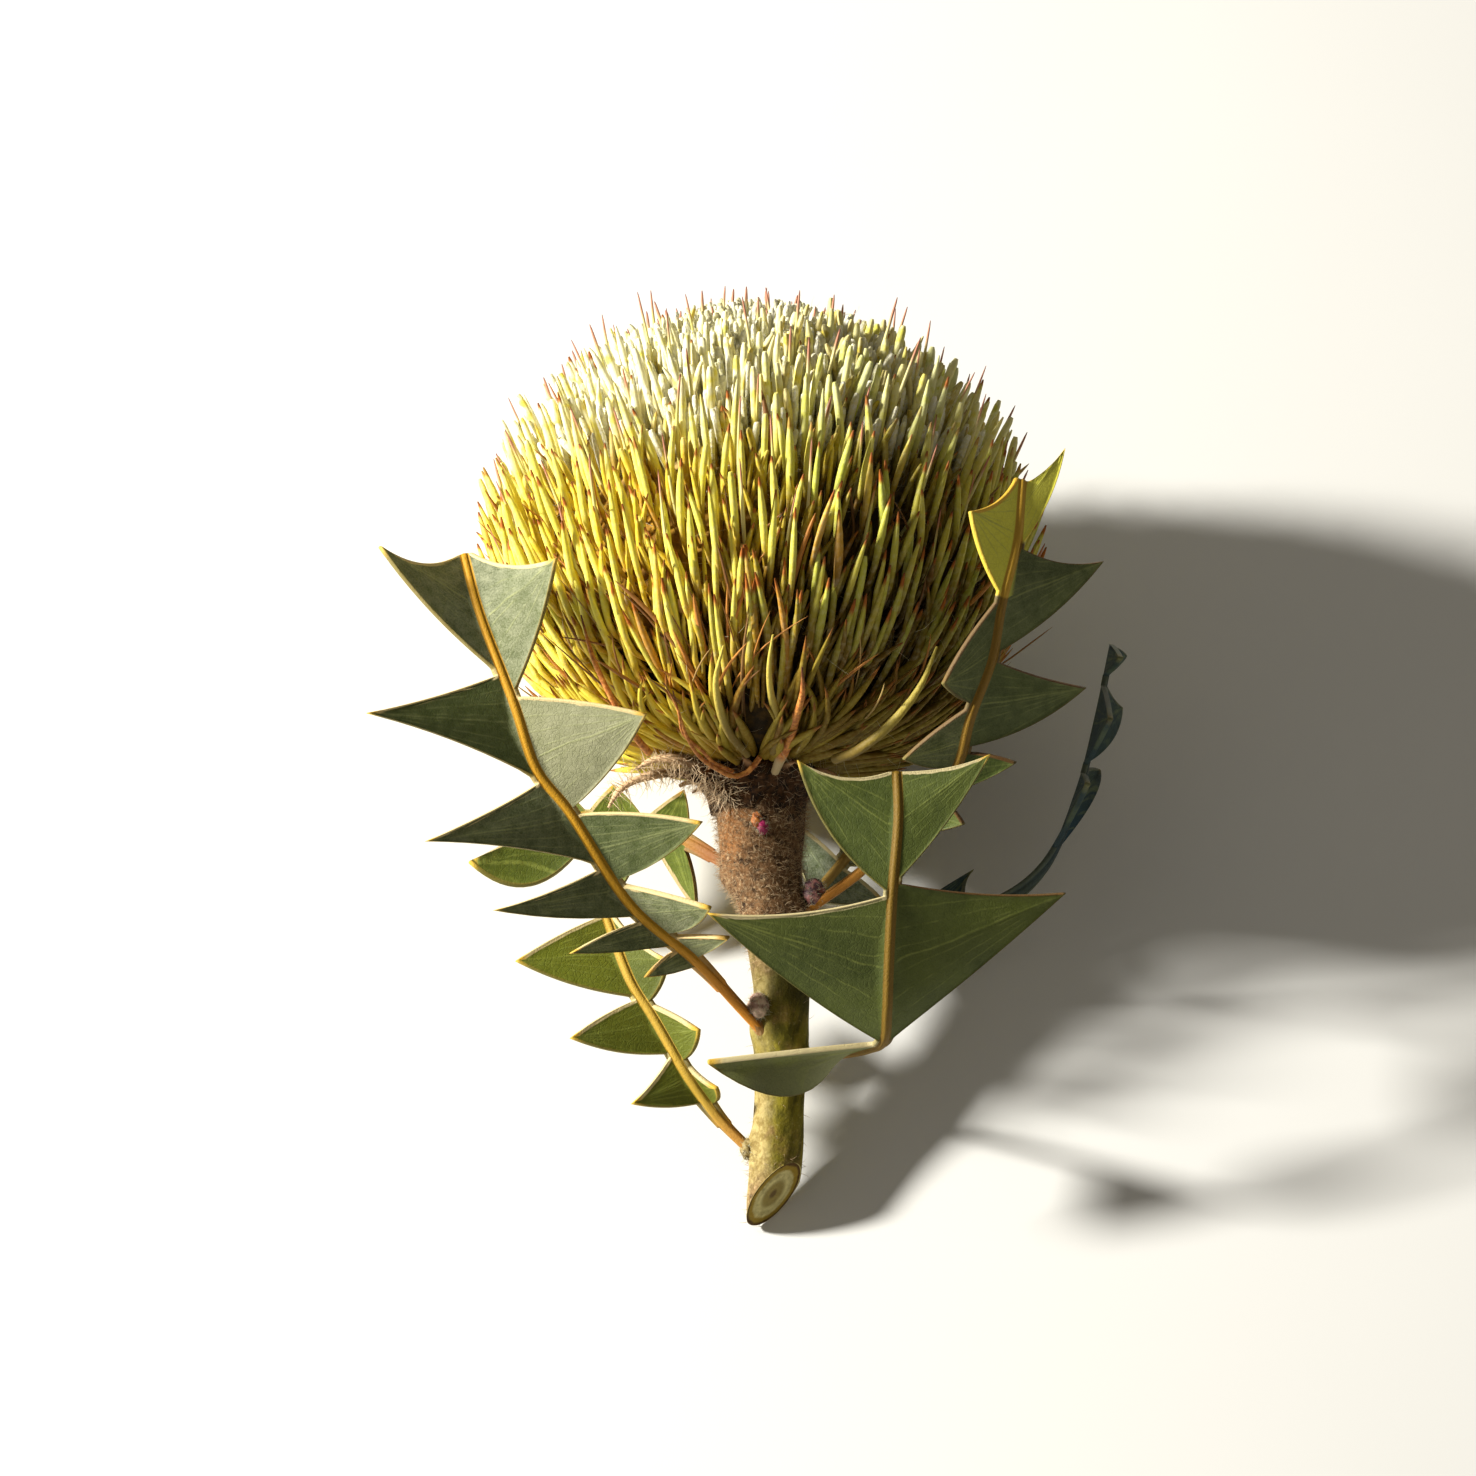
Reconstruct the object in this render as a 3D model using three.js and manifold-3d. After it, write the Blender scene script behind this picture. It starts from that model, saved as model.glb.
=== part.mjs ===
import * as THREE from 'three';
import { mergeVertices } from 'three/addons/utils/BufferGeometryUtils.js';
import Module from 'manifold-3d';

// A cut stem of birds nest banksia, lying on its back on a level surface.
// It is measured upright, in millimetres: right and up as seen from the front,
// back away from the viewer. It is laid down afterwards, front side upward.

const wasm = await Module();
wasm.setup();

// How the flower was looked at, and how it lies.
const seenFromBelow = THREE.MathUtils.degToRad(10);
const stemSlope = THREE.MathUtils.degToRad(22);
const restLift = 4.8;
const pressedHeight = 0.15;
const groundBlock = [400, 400, 40];

// Flower head: the firm core that the florets stand out of, radius and height.
const headAxisRight = -2.6;
const headBottom = 70.3;
const crownRadius = 21;
const crownMargin = 2.5;
const budMargin = 4;
const lowestFloretShare = 0.19;
const areaSteps = 400;
const coreOutline = [
  [0, 70.3], [11, 70.3], [26, 75.5], [36.5, 86], [40.8, 100], [38.6, 114], [31.5, 125.5], [21, 134.2],
  [11, 139.2], [0, 141],
];
const coreSides = 20;
const crownSeam = 0.15;

// Florets: slender spindles set on a spiral.
const floretCount = 325;
const floretLength = 13.5;
const rootDepth = 2.4;
const floretWidth = 1.75;
const topShortening = 0.8;
const topAngle = THREE.MathUtils.degToRad(63);
const leastLean = THREE.MathUtils.degToRad(7);
const greatestLean = THREE.MathUtils.degToRad(89);
const leanScatter = 0.16;
const lengthScatter = 0.28;
const rootCurl = 0.2;
const tipCurl = 0.16;
const bellyPlace = 0.45;
const rootSlenderness = 0.32;
const bellyStoutness = 0.58;
const floretClimb = THREE.MathUtils.degToRad(69);
const budCount = 66;
const budLength = 4.2;
const budWidth = 1.9;
const budRoot = 2.2;
const budLean = 0.55;
const budLengthScatter = 0.5;
const basalCount = 34;
const basalLength = 27;
const basalWidth = 2.4;
const basalInnerStart = 9;
const basalOuterStart = 16;
const basalRises = [3, 1.6, 5.2, 13];
const basalReaches = [0, 0.19, 0.48, 0.82];
const goldenAngle = Math.PI * (3 - Math.sqrt(5));

// Stem: centre line to the right, height, radius.
const stemSections = [
  [-0.6, -9, 4.3], [-0.3, 0, 4.3], [0.2, 8, 4.25], [0.8, 17, 4.05], [1.1, 27, 4.5], [0.9, 35, 4.6],
  [0.1, 43, 4.9], [-0.8, 49, 5.5], [-2.1, 55, 6.6], [-2.2, 61, 7.1], [-2.5, 66, 7.4], [-2.6, 70, 7.6],
];
const stemSides = 18;
const stemSeat = 0.3;
const cutFacing = new THREE.Vector3(0.6, -0.5, -0.72).normalize();
const cutCentre = [0, 0, 1.5];
const cutBlock = [60, 60, 30];

// Hairy bracts under the head: round angle, reach, droop and width.
const collarOutline = [[9.1, 64.8], [11.5, 68.3], [10.9, 69.9]];
const collarSides = 16;
const bractFoot = 67.7;
const bractStart = 8.6;
const bractArch = 1.1;
const bractHalfThickness = 0.75;
const bractTaper = 0.75;
const bractThinning = 0.4;
const bractSpots = [0, 0.35, 0.7, 1];
const bracts = [
  { turn: 186, reach: 26, droop: 6.5, width: 3.0 },
  { turn: 207, reach: 21, droop: 1.5, width: 2.8 },
  { turn: 236, reach: 15, droop: 0.5, width: 3.0 },
  { turn: 262, reach: 14, droop: -1.0, width: 3.2 },
  { turn: 292, reach: 14, droop: -0.5, width: 3.0 },
  { turn: 322, reach: 15, droop: 1.0, width: 3.0 },
  { turn: 352, reach: 16, droop: 2.0, width: 3.0 },
  { turn: 25, reach: 15, droop: 1.5, width: 3.0 },
  { turn: 62, reach: 15, droop: 1.5, width: 3.0 },
  { turn: 98, reach: 16, droop: 2.5, width: 3.0 },
  { turn: 132, reach: 15, droop: 1.0, width: 3.0 },
  { turn: 160, reach: 17, droop: 3.0, width: 3.0 },
];

// Buds on the stem: right, height, back, radius.
const buds = [
  [-1.9, 59.2, -6.6, 1.6], [5.6, 49.6, -2.6, 2.0], [-2.2, 31.2, -4.0, 2.0], [-4.0, 8.2, -0.4, 1.7],
];

// Leaves: blade and rib sizes that all of them share.
const bladeThickness = 0.8;
const ribRise = 0.55;
const ribHalfWidth = 0.85;
const ribTipHalfWidth = 0.5;
const wingHalfWidth = 1.25;
const notchHalfWidth = 1.9;
const leafSeat = 0.3;
const widestRowGap = 0.06;
const rowSpacing = 0.08;

// Each leaf: midrib points from the stem to the apex, then its lobes on either
// side, lowest first. A lobe runs along the midrib from one share of its length
// to another, with its peak between them. Bellies swell (+) or hollow (-) the
// lower and the upper edge; a lower edge may pass through a point instead.
const leaves = [
  {
    name: 'leaf_left_large',
    colour: '#5d6a3e',
    midrib: [
      [-0.6, 25.6, -1.5], [-5.6, 31, -5], [-12.5, 38.4, -11], [-22.9, 47.4, -18], [-33, 62.7, -25],
      [-37.8, 68.8, -27], [-41.4, 79.4, -29.5], [-46.9, 93.8, -29.5], [-49.4, 103, -27],
    ],
    left: [
      { from: 0.19, peak: 0.205, to: 0.235, tip: [-20.5, 36, -14], lower: 0.3, upper: 0.3 },
      { from: 0.25, peak: 0.27, to: 0.315, tip: [-32.3, 39.8, -21], lower: 0.4, upper: 0.4 },
      { from: 0.33, peak: 0.37, to: 0.425, tip: [-44.3, 46.7, -29], lower: 0.8, upper: -0.5 },
      { from: 0.44, peak: 0.5, to: 0.6, tip: [-55, 57.6, -35], lower: -0.8, upper: -0.4 },
      { from: 0.615, peak: 0.68, to: 0.785, tip: [-64.3, 77.8, -39], lower: -0.8, upper: -0.5 },
      { from: 0.8, peak: 0.9, to: 1, tip: [-62.4, 104, -36], lower: 1.2, upper: -2.2 },
    ],
    right: [
      { from: 0.2, peak: 0.225, to: 0.25, tip: [-7.5, 42.2, -19], lower: 0.3, upper: 0.3 },
      { from: 0.265, peak: 0.31, to: 0.38, tip: [-10.4, 47, -25], lower: 1.2, upper: 0.3 },
      { from: 0.395, peak: 0.44, to: 0.52, tip: [-11.8, 60.5, -29], lower: 1.2, upper: 0.8 },
      { from: 0.535, peak: 0.62, to: 0.74, tip: [-20.6, 77.6, -33], lower: 1.0, upper: 0.6 },
      { from: 0.755, peak: 0.88, to: 1, tip: [-34.7, 102.2, -37], lower: 0.8, upper: -1.6 },
    ],
  },
  {
    name: 'leaf_left_small',
    colour: '#56702b',
    midrib: [
      [-2.4, 6.7, 0], [-8.6, 12.8, -1], [-13.9, 20, -3], [-19.4, 29.4, -4], [-22.9, 34.9, -4], [-27, 45.6, -3],
    ],
    left: [
      { from: 0.28, peak: 0.35, to: 0.46, tip: [-22.6, 15.8, -7], lower: 0.6, upper: -0.3 },
      { from: 0.48, peak: 0.56, to: 0.69, tip: [-32.3, 26.2, -9], lower: 1.0, upper: 0.4 },
      { from: 0.71, peak: 0.85, to: 1, tip: [-41, 38.4, -8], lower: 1.0, upper: 0.4 },
    ],
    right: [
      { from: 0.25, peak: 0.31, to: 0.4, tip: [-9.4, 18.2, -5], lower: 0.6, upper: -0.3 },
      { from: 0.43, peak: 0.53, to: 0.64, tip: [-12.2, 27.4, -7], lower: 0.6, upper: 0.3 },
      { from: 0.66, peak: 0.82, to: 1, tip: [-17.2, 38.6, -6], lower: 0.5, upper: -0.8 },
    ],
  },
  {
    name: 'leaf_left_behind',
    colour: '#5f7a2f',
    midrib: [
      [-3.6, 51, 0.5], [-15.4, 57.9, 6], [-24.8, 60.6, 10], [-37.6, 61.4, 12],
    ],
    left: [
      { from: 0.34, peak: 0.42, to: 0.52, tip: [-12.6, 46.5, 10], lower: 0.6, upper: 0.4 },
      { from: 0.54, peak: 0.63, to: 0.74, tip: [-27.6, 45.8, 14], lower: 0.8, upper: 0.6 },
      { from: 0.76, peak: 0.88, to: 1, tip: [-48.8, 54, 9], through: [-38.3, 50.6, 11], upper: -0.5 },
    ],
    right: [
      { from: 0.36, peak: 0.46, to: 0.56, tip: [-14.6, 65.2, 12.5], lower: 0.4, upper: 0.3 },
      { from: 0.58, peak: 0.7, to: 0.8, tip: [-26, 66, 15], lower: 0.4, upper: 0.2 },
      { from: 0.82, peak: 0.9, to: 1, tip: [-36.5, 67, 15], lower: 0.4, upper: -0.5 },
    ],
  },
  {
    name: 'leaf_right_upper',
    colour: '#5c6a35',
    midrib: [
      [2.6, 44.6, -0.5], [6.7, 47.5, -2.5], [14.1, 53, -9], [21.6, 61, -17], [28.6, 69.1, -24], [30.9, 77.3, -29.5],
      [34.2, 86.4, -33], [35.8, 95.2, -35.5], [38.2, 104.8, -35], [39.2, 114.7, -31],
    ],
    left: [
      { from: 0.45, peak: 0.5, to: 0.565, tip: [20.5, 70.7, -27], lower: 0.6, upper: 0.4 },
      { from: 0.58, peak: 0.65, to: 0.76, tip: [26.6, 82.6, -35.5], lower: 0.4, upper: 0.6 },
      { from: 0.78, peak: 0.9, to: 1, tip: [30.9, 109.6, -39], lower: 0.8, upper: -1.2 },
    ],
    right: [
      { from: 0.3, peak: 0.34, to: 0.385, tip: [29.8, 60.3, -20], lower: 0.6, upper: 0.4 },
      { from: 0.4, peak: 0.44, to: 0.485, tip: [37.9, 70, -25], lower: 0.6, upper: 0.4 },
      { from: 0.5, peak: 0.57, to: 0.66, tip: [49, 81.9, -24], lower: 1.6, upper: -0.4 },
      { from: 0.68, peak: 0.77, to: 0.865, tip: [51.8, 101.9, -26], lower: 1.2, upper: -1.2 },
      { from: 0.88, peak: 0.95, to: 1, tip: [45.9, 119.7, -26], lower: 1.0, upper: -0.4 },
    ],
  },
  {
    name: 'leaf_right_front',
    colour: '#4d5c33',
    midrib: [
      [1.6, 21.4, -1], [6.4, 23, -5], [14.5, 24.6, -17], [17.1, 26, -22.5], [17.6, 30.7, -27], [17.8, 36.8, -30],
      [18.4, 49, -34], [19.4, 61.3, -35], [19.2, 68.5, -34],
    ],
    left: [
      { from: 0.2, peak: 0.28, to: 0.355, tip: [-10.4, 22.7, -25], through: [2.2, 17.6, -19], upper: 0.8 },
      { from: 0.385, peak: 0.55, to: 0.72, tip: [-10.4, 46.2, -37], lower: 1.0, upper: -1.4 },
      { from: 0.735, peak: 0.88, to: 1, tip: [3.7, 70.2, -36], lower: 2.2, upper: -1.8 },
    ],
    right: [
      { from: 0.385, peak: 0.56, to: 0.75, tip: [45.6, 49.3, -27], lower: 0.4, upper: -1.0 },
      { from: 0.765, peak: 0.89, to: 1, tip: [33.8, 71.2, -34], lower: 0.8, upper: -0.8 },
    ],
  },
  {
    name: 'leaf_right_far',
    colour: '#43574f',
    midrib: [
      [2.6, 38, 1], [12, 41.6, 6], [24.8, 44.8, 11], [36, 47.3, 13], [43.5, 53.5, 13], [48.8, 65.6, 11],
      [51.7, 76.8, 9], [54.2, 88.8, 8],
    ],
    left: [
      { from: 0.24, peak: 0.31, to: 0.38, tip: [31.8, 52.5, 15], lower: 0.2, upper: -0.8 },
      { from: 0.6, peak: 0.68, to: 0.75, tip: [50, 66.6, -4], lower: 0.5, upper: 0.3 },
      { from: 0.77, peak: 0.85, to: 0.92, tip: [53.6, 77, -7], lower: 0.5, upper: 0.3 },
      { from: 0.94, peak: 0.97, to: 1, tip: [55.4, 86.8, -2], lower: 0.3, upper: 0.2 },
    ],
    right: [
      { from: 0.27, peak: 0.35, to: 0.43, tip: [33.6, 39.5, 18], lower: 0.5, upper: 0.5 },
      { from: 0.61, peak: 0.7, to: 0.755, tip: [52.3, 68.8, 24], through: [50.9, 64, 17], upper: 0.3 },
      { from: 0.775, peak: 0.86, to: 0.925, tip: [55.9, 78.9, 24], through: [54.3, 74, 17], upper: -0.4 },
      { from: 0.945, peak: 0.975, to: 1, tip: [56.6, 87.2, 18], lower: 0.3, upper: 0.2 },
    ],
  },
  {
    name: 'leaf_right_behind',
    colour: '#5b6b4c',
    midrib: [
      [-0.6, 42, 2.5], [3.4, 45.6, 9], [8, 50.5, 13.5], [14, 57.4, 15.5], [20, 62.4, 15],
    ],
    left: [
      { from: 0.42, peak: 0.52, to: 0.64, tip: [2.5, 60.5, 16], lower: 0.4, upper: 0.3 },
      { from: 0.67, peak: 0.8, to: 1, tip: [11.5, 66, 17], lower: 0.4, upper: -0.5 },
    ],
    right: [
      { from: 0.4, peak: 0.5, to: 0.62, tip: [17.5, 47.5, 17], lower: 0.5, upper: 0.4 },
      { from: 0.65, peak: 0.8, to: 1, tip: [20.5, 55, 17], lower: 0.6, upper: 0.4 },
    ],
  },
];

const colours = {
  stem: '#8a7a3c',
  bracts: '#7a5a3a',
  florets: '#b5ad3c',
  crown: '#dcd9b0',
};

// A point given as it was seen from the front.
function seen([right, up, back]) {
  const rise = (up + back * Math.sin(seenFromBelow)) / Math.cos(seenFromBelow);
  return new THREE.Vector3(right, back, rise);
}

// Repeatable scatter between 0 and 1.
function scatter(index, salt) {
  const wave = Math.sin(index * 12.9898 + salt * 78.233) * 43758.5453;
  return wave - Math.floor(wave);
}

function geometryOf(points, triangles) {
  const geometry = new THREE.BufferGeometry();
  geometry.setAttribute('position', new THREE.Float32BufferAttribute(points.flatMap((p) => [p.x, p.y, p.z]), 3));
  geometry.setIndex(triangles.flat());
  return geometry;
}

function solidOf(geometry) {
  const bare = geometry.clone();
  bare.deleteAttribute('normal');
  bare.deleteAttribute('uv');
  const merged = mergeVertices(bare, 1e-4);
  const mesh = new wasm.Mesh({
    numProp: 3,
    vertProperties: new Float32Array(merged.attributes.position.array),
    triVerts: new Uint32Array(merged.index.array),
  });
  return new wasm.Manifold(mesh);
}

function geometryFrom(solid) {
  const mesh = solid.getMesh();
  const geometry = new THREE.BufferGeometry();
  geometry.setAttribute('position', new THREE.Float32BufferAttribute(mesh.vertProperties, 3));
  geometry.setIndex(new THREE.BufferAttribute(mesh.triVerts, 1));
  return geometry;
}

function joined(solids) {
  return solids.reduce((whole, solid) => whole.add(solid));
}

// Closed skin over rings of points; a first or last ring of one point is a tip.
function skin(rings) {
  const points = [];
  const starts = rings.map((ring) => points.push(...ring) - ring.length);
  const triangles = [];
  for (let i = 0; i + 1 < rings.length; i++) {
    const count = Math.max(rings[i].length, rings[i + 1].length);
    for (let k = 0; k < count; k++) {
      const next = (k + 1) % count;
      const a = starts[i] + (rings[i].length > 1 ? k : 0);
      const b = starts[i] + (rings[i].length > 1 ? next : 0);
      const c = starts[i + 1] + (rings[i + 1].length > 1 ? next : 0);
      const d = starts[i + 1] + (rings[i + 1].length > 1 ? k : 0);
      if (a !== b) triangles.push([a, b, c]);
      if (c !== d) triangles.push([a, c, d]);
    }
  }
  const first = rings[0];
  const last = rings[rings.length - 1];
  const lastStart = starts[rings.length - 1];
  for (let k = 1; k + 1 < first.length; k++) triangles.push([starts[0], starts[0] + k + 1, starts[0] + k]);
  for (let k = 1; k + 1 < last.length; k++) triangles.push([lastStart, lastStart + k, lastStart + k + 1]);
  return geometryOf(points, triangles);
}

const upright = new THREE.Vector3(0, 0, 1);
const backward = new THREE.Vector3(0, 1, 0);

// A ring of points round a centre, in the plane across a direction. Rings of one
// skin share their reference, so that their points stay in line.
function ringAround(centre, along, radius, sides, startAngle = 0, reference = backward) {
  const across = new THREE.Vector3().crossVectors(reference, along).normalize();
  const other = new THREE.Vector3().crossVectors(along, across).normalize();
  return Array.from({ length: sides }, (_, k) => {
    const angle = startAngle + (k / sides) * Math.PI * 2;
    return centre.clone()
      .addScaledVector(across, Math.cos(angle) * radius)
      .addScaledVector(other, Math.sin(angle) * radius);
  });
}

// The core's outline as a smooth curve of radius and height.
const coreCurve = new THREE.SplineCurve(coreOutline.map(([r, z]) => new THREE.Vector2(r, z)));

function coreSolid(outline) {
  const rings = outline.map(([r, z]) => {
    const centre = new THREE.Vector3(headAxisRight, 0, z);
    return r < 1e-6 ? [centre] : ringAround(centre, upright, r, coreSides);
  });
  return solidOf(skin(rings));
}

// Point, outward way and angle from up of the core at a share of its outline.
function coreSpot(share, turn) {
  const spot = coreCurve.getPoint(share);
  const slope = coreCurve.getTangent(share);
  const fromUp = Math.atan2(slope.y, -slope.x);
  const out = new THREE.Vector3(Math.cos(turn), Math.sin(turn), 0);
  const place = out.clone().multiplyScalar(spot.x).add(new THREE.Vector3(headAxisRight, 0, spot.y));
  const root = place.clone().addScaledVector(leaning(out, fromUp), -rootDepth);
  return { place, out, fromUp, root, beside: new THREE.Vector3(-Math.sin(turn), Math.cos(turn), 0) };
}

function leaning(out, angle) {
  return out.clone().multiplyScalar(Math.sin(angle)).add(new THREE.Vector3(0, 0, Math.cos(angle)));
}

// Shares of the outline that spread spots evenly over the core.
function evenShares(count, lowest, highest) {
  const table = [0];
  for (let i = 1; i <= areaSteps; i++) {
    const a = coreCurve.getPoint(lowest + (highest - lowest) * ((i - 1) / areaSteps));
    const b = coreCurve.getPoint(lowest + (highest - lowest) * (i / areaSteps));
    table.push(table[i - 1] + a.distanceTo(b) * (a.x + b.x) * 0.5);
  }
  return Array.from({ length: count }, (_, k) => {
    const wanted = ((k + 0.5) / count) * table[areaSteps];
    const i = table.findIndex((area) => area >= wanted);
    return lowest + (highest - lowest) * (i / areaSteps);
  });
}

function shareAtRadius(radius) {
  let share = 1;
  while (coreCurve.getPoint(share).x < radius) share -= 0.001;
  return share;
}

// Height over the surface that the flower lies on.
function heightOf(point) {
  return point.z * Math.sin(stemSlope) - point.y * Math.cos(stemSlope) + restLift;
}

// A point that would sink into the surface is pushed up onto it.
function overSurface(point) {
  const lack = Math.max(pressedHeight - heightOf(point), 0);
  return point.add(new THREE.Vector3(0, -Math.cos(stemSlope), Math.sin(stemSlope)).multiplyScalar(lack));
}

function spindle({ root, place, beside }, rootWay, tipWay, length, width, turn) {
  const belly = overSurface(place.clone().addScaledVector(rootWay, length * bellyPlace));
  const tip = overSurface(belly.clone().addScaledVector(tipWay, length * (1 - bellyPlace)));
  return solidOf(skin([
    ringAround(root, rootWay, width * rootSlenderness, 3, turn, beside),
    ringAround(belly, tipWay, width * bellyStoutness, 3, turn, beside),
    [tip],
  ]));
}

function floretSolids() {
  const shares = evenShares(floretCount, lowestFloretShare, shareAtRadius(crownRadius + crownMargin));
  return shares.map((share, i) => {
    const spot = coreSpot(share, i * goldenAngle);
    const { out, fromUp } = spot;
    const steady = THREE.MathUtils.clamp(fromUp - floretClimb, leastLean, greatestLean);
    const lean = steady + (scatter(i, 1) - 0.5) * leanScatter;
    const length = floretLength * (1 + (scatter(i, 2) - 0.5) * lengthScatter) * (fromUp < topAngle ? topShortening : 1);
    return spindle(spot, leaning(out, lean + rootCurl), leaning(out, lean - tipCurl), length, floretWidth, scatter(i, 3) * 2);
  });
}

// Long flattened florets that sweep out from under the core and then up.
function basalSolids() {
  return Array.from({ length: basalCount }, (_, i) => {
    const turn = (i / basalCount) * Math.PI * 2;
    const out = new THREE.Vector3(Math.cos(turn), Math.sin(turn), 0);
    const beside = new THREE.Vector3(-Math.sin(turn), Math.cos(turn), 0);
    const length = basalLength * (1 + (scatter(i, 5) - 0.5) * lengthScatter);
    const start = i % 2 ? basalOuterStart : basalInnerStart;
    const line = basalRises.map((rise, k) => {
      const r = start + length * basalReaches[k];
      return overSurface(out.clone().multiplyScalar(r).add(new THREE.Vector3(headAxisRight, 0, headBottom + rise)));
    });
    const ways = line.map((_, k) => line[Math.min(k + 1, 3)].clone().sub(line[Math.max(k - 1, 0)]).normalize());
    return solidOf(skin([
      ringAround(line[0], ways[0], basalWidth * rootSlenderness, 3, 0, beside),
      ringAround(line[1], ways[1], basalWidth * 0.5, 3, 0, beside),
      ringAround(line[2], ways[2], basalWidth * 0.5, 3, 0, beside),
      [line[3]],
    ]));
  });
}

function crownSolids() {
  const shares = evenShares(budCount, shareAtRadius(crownRadius - budMargin), 0.998);
  return shares.map((share, i) => {
    const { place, out, fromUp, beside } = coreSpot(share, i * goldenAngle);
    const way = leaning(out, fromUp * budLean);
    const length = budLength * (1 + (scatter(i, 7) - 0.4) * budLengthScatter);
    const root = place.clone().addScaledVector(way, -budRoot);
    const belly = place.clone().addScaledVector(way, length * bellyPlace);
    return solidOf(skin([
      ringAround(root, way, budWidth * rootSlenderness, 3, scatter(i, 8) * 2, beside),
      ringAround(belly, way, budWidth * bellyStoutness, 3, scatter(i, 8) * 2, beside),
      [place.clone().addScaledVector(way, length)],
    ]));
  });
}

// Below the crown seam the core belongs to the florets, above it to the crown.
const seamIndex = coreOutline.findIndex(([r, z]) => r === crownRadius && z > 100);
const seamHeight = coreOutline[seamIndex][1];
const lowerCore = coreSolid([
  ...coreOutline.slice(0, seamIndex),
  [crownRadius, seamHeight - crownSeam],
  [0, seamHeight - crownSeam],
]);
const upperCore = coreSolid([
  [0, seamHeight + crownSeam],
  [crownRadius, seamHeight + crownSeam],
  ...coreOutline.slice(seamIndex + 1),
]);

function stemSolid(grow) {
  const rings = stemSections.map(([right, z, radius], i) => {
    const before = stemSections[Math.max(i - 1, 0)];
    const after = stemSections[Math.min(i + 1, stemSections.length - 1)];
    const along = new THREE.Vector3(after[0] - before[0], 0, after[1] - before[1]).normalize();
    const level = i === stemSections.length - 1 ? upright : along;
    return ringAround(new THREE.Vector3(right, 0, z), level, radius + grow, stemSides);
  });
  return solidOf(skin(rings));
}

function ball([right, z, back, radius], grow) {
  const geometry = new THREE.SphereGeometry(radius + grow, 8, 5);
  geometry.rotateX(Math.PI / 2);
  geometry.translate(right, back, z);
  return solidOf(geometry);
}

function cutAway() {
  const block = new THREE.BoxGeometry(...cutBlock);
  block.translate(0, 0, cutBlock[2] / 2);
  block.applyQuaternion(new THREE.Quaternion().setFromUnitVectors(upright, cutFacing));
  block.translate(...cutCentre);
  return solidOf(block);
}

function wholeStem() {
  return joined([stemSolid(0), ...buds.map((bud) => ball(bud, 0))]).subtract(cutAway());
}

// The room that the stem takes up, with the seat gap round it.
function stemRoom(gap) {
  return joined([stemSolid(gap), ...buds.map((bud) => ball(bud, gap))]);
}

function bractsSolid() {
  const collar = skin(collarOutline.map(([r, z]) => (
    ringAround(new THREE.Vector3(headAxisRight, 0, z), upright, r, collarSides)
  )));
  const blades = bracts.map(({ turn, reach, droop, width }) => {
    const angle = THREE.MathUtils.degToRad(turn);
    const out = new THREE.Vector3(Math.cos(angle), Math.sin(angle), 0);
    const side = new THREE.Vector3(-Math.sin(angle), Math.cos(angle), 0);
    const rings = bractSpots.map((share) => {
      const r = bractStart + (reach - bractStart) * share;
      const z = bractFoot + Math.sin(share * Math.PI * 0.75) * bractArch - droop * share * share;
      const centre = out.clone().multiplyScalar(r).add(new THREE.Vector3(headAxisRight, 0, z));
      const half = (width / 2) * (1 - bractTaper * share);
      const thick = bractHalfThickness - bractThinning * share;
      return [
        centre.clone().addScaledVector(side, -half),
        centre.clone().add(new THREE.Vector3(0, 0, -thick)),
        centre.clone().addScaledVector(side, half),
        centre.clone().add(new THREE.Vector3(0, 0, thick)),
      ];
    });
    return solidOf(skin(rings));
  });
  return joined([solidOf(collar), ...blades]).subtract(stemSolid(stemSeat));
}

// Sampled rows of one leaf: shares of the midrib where anything happens.
function leafRows(leaf) {
  const keys = [0, ...[...leaf.left, ...leaf.right].flatMap(({ from, peak, to }) => [from, peak, to]), 1];
  const sorted = [...new Set(keys)].sort((a, b) => a - b);
  const spaced = [];
  sorted.forEach((share, i) => {
    if (i > 0 && share - sorted[i - 1] > widestRowGap) {
      const parts = Math.ceil((share - sorted[i - 1]) / rowSpacing);
      for (let k = 1; k < parts; k++) spaced.push(sorted[i - 1] + ((share - sorted[i - 1]) * k) / parts);
    }
    spaced.push(share);
  });
  return spaced;
}

// A point of an edge from a notch to a tip, swollen in the plane of the lobe.
function bend(a, b, belly, inside, share) {
  const line = b.clone().sub(a);
  const swell = line.clone().cross(inside).normalize();
  return a.clone().addScaledVector(line, share).addScaledVector(swell, belly * 4 * share * (1 - share));
}

// The same for an edge that passes through a point halfway.
function bendThrough(a, b, halfway, share) {
  const swell = halfway.clone().sub(a.clone().add(b).multiplyScalar(0.5));
  return a.clone().lerp(b, share).addScaledVector(swell, 4 * share * (1 - share));
}

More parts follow.
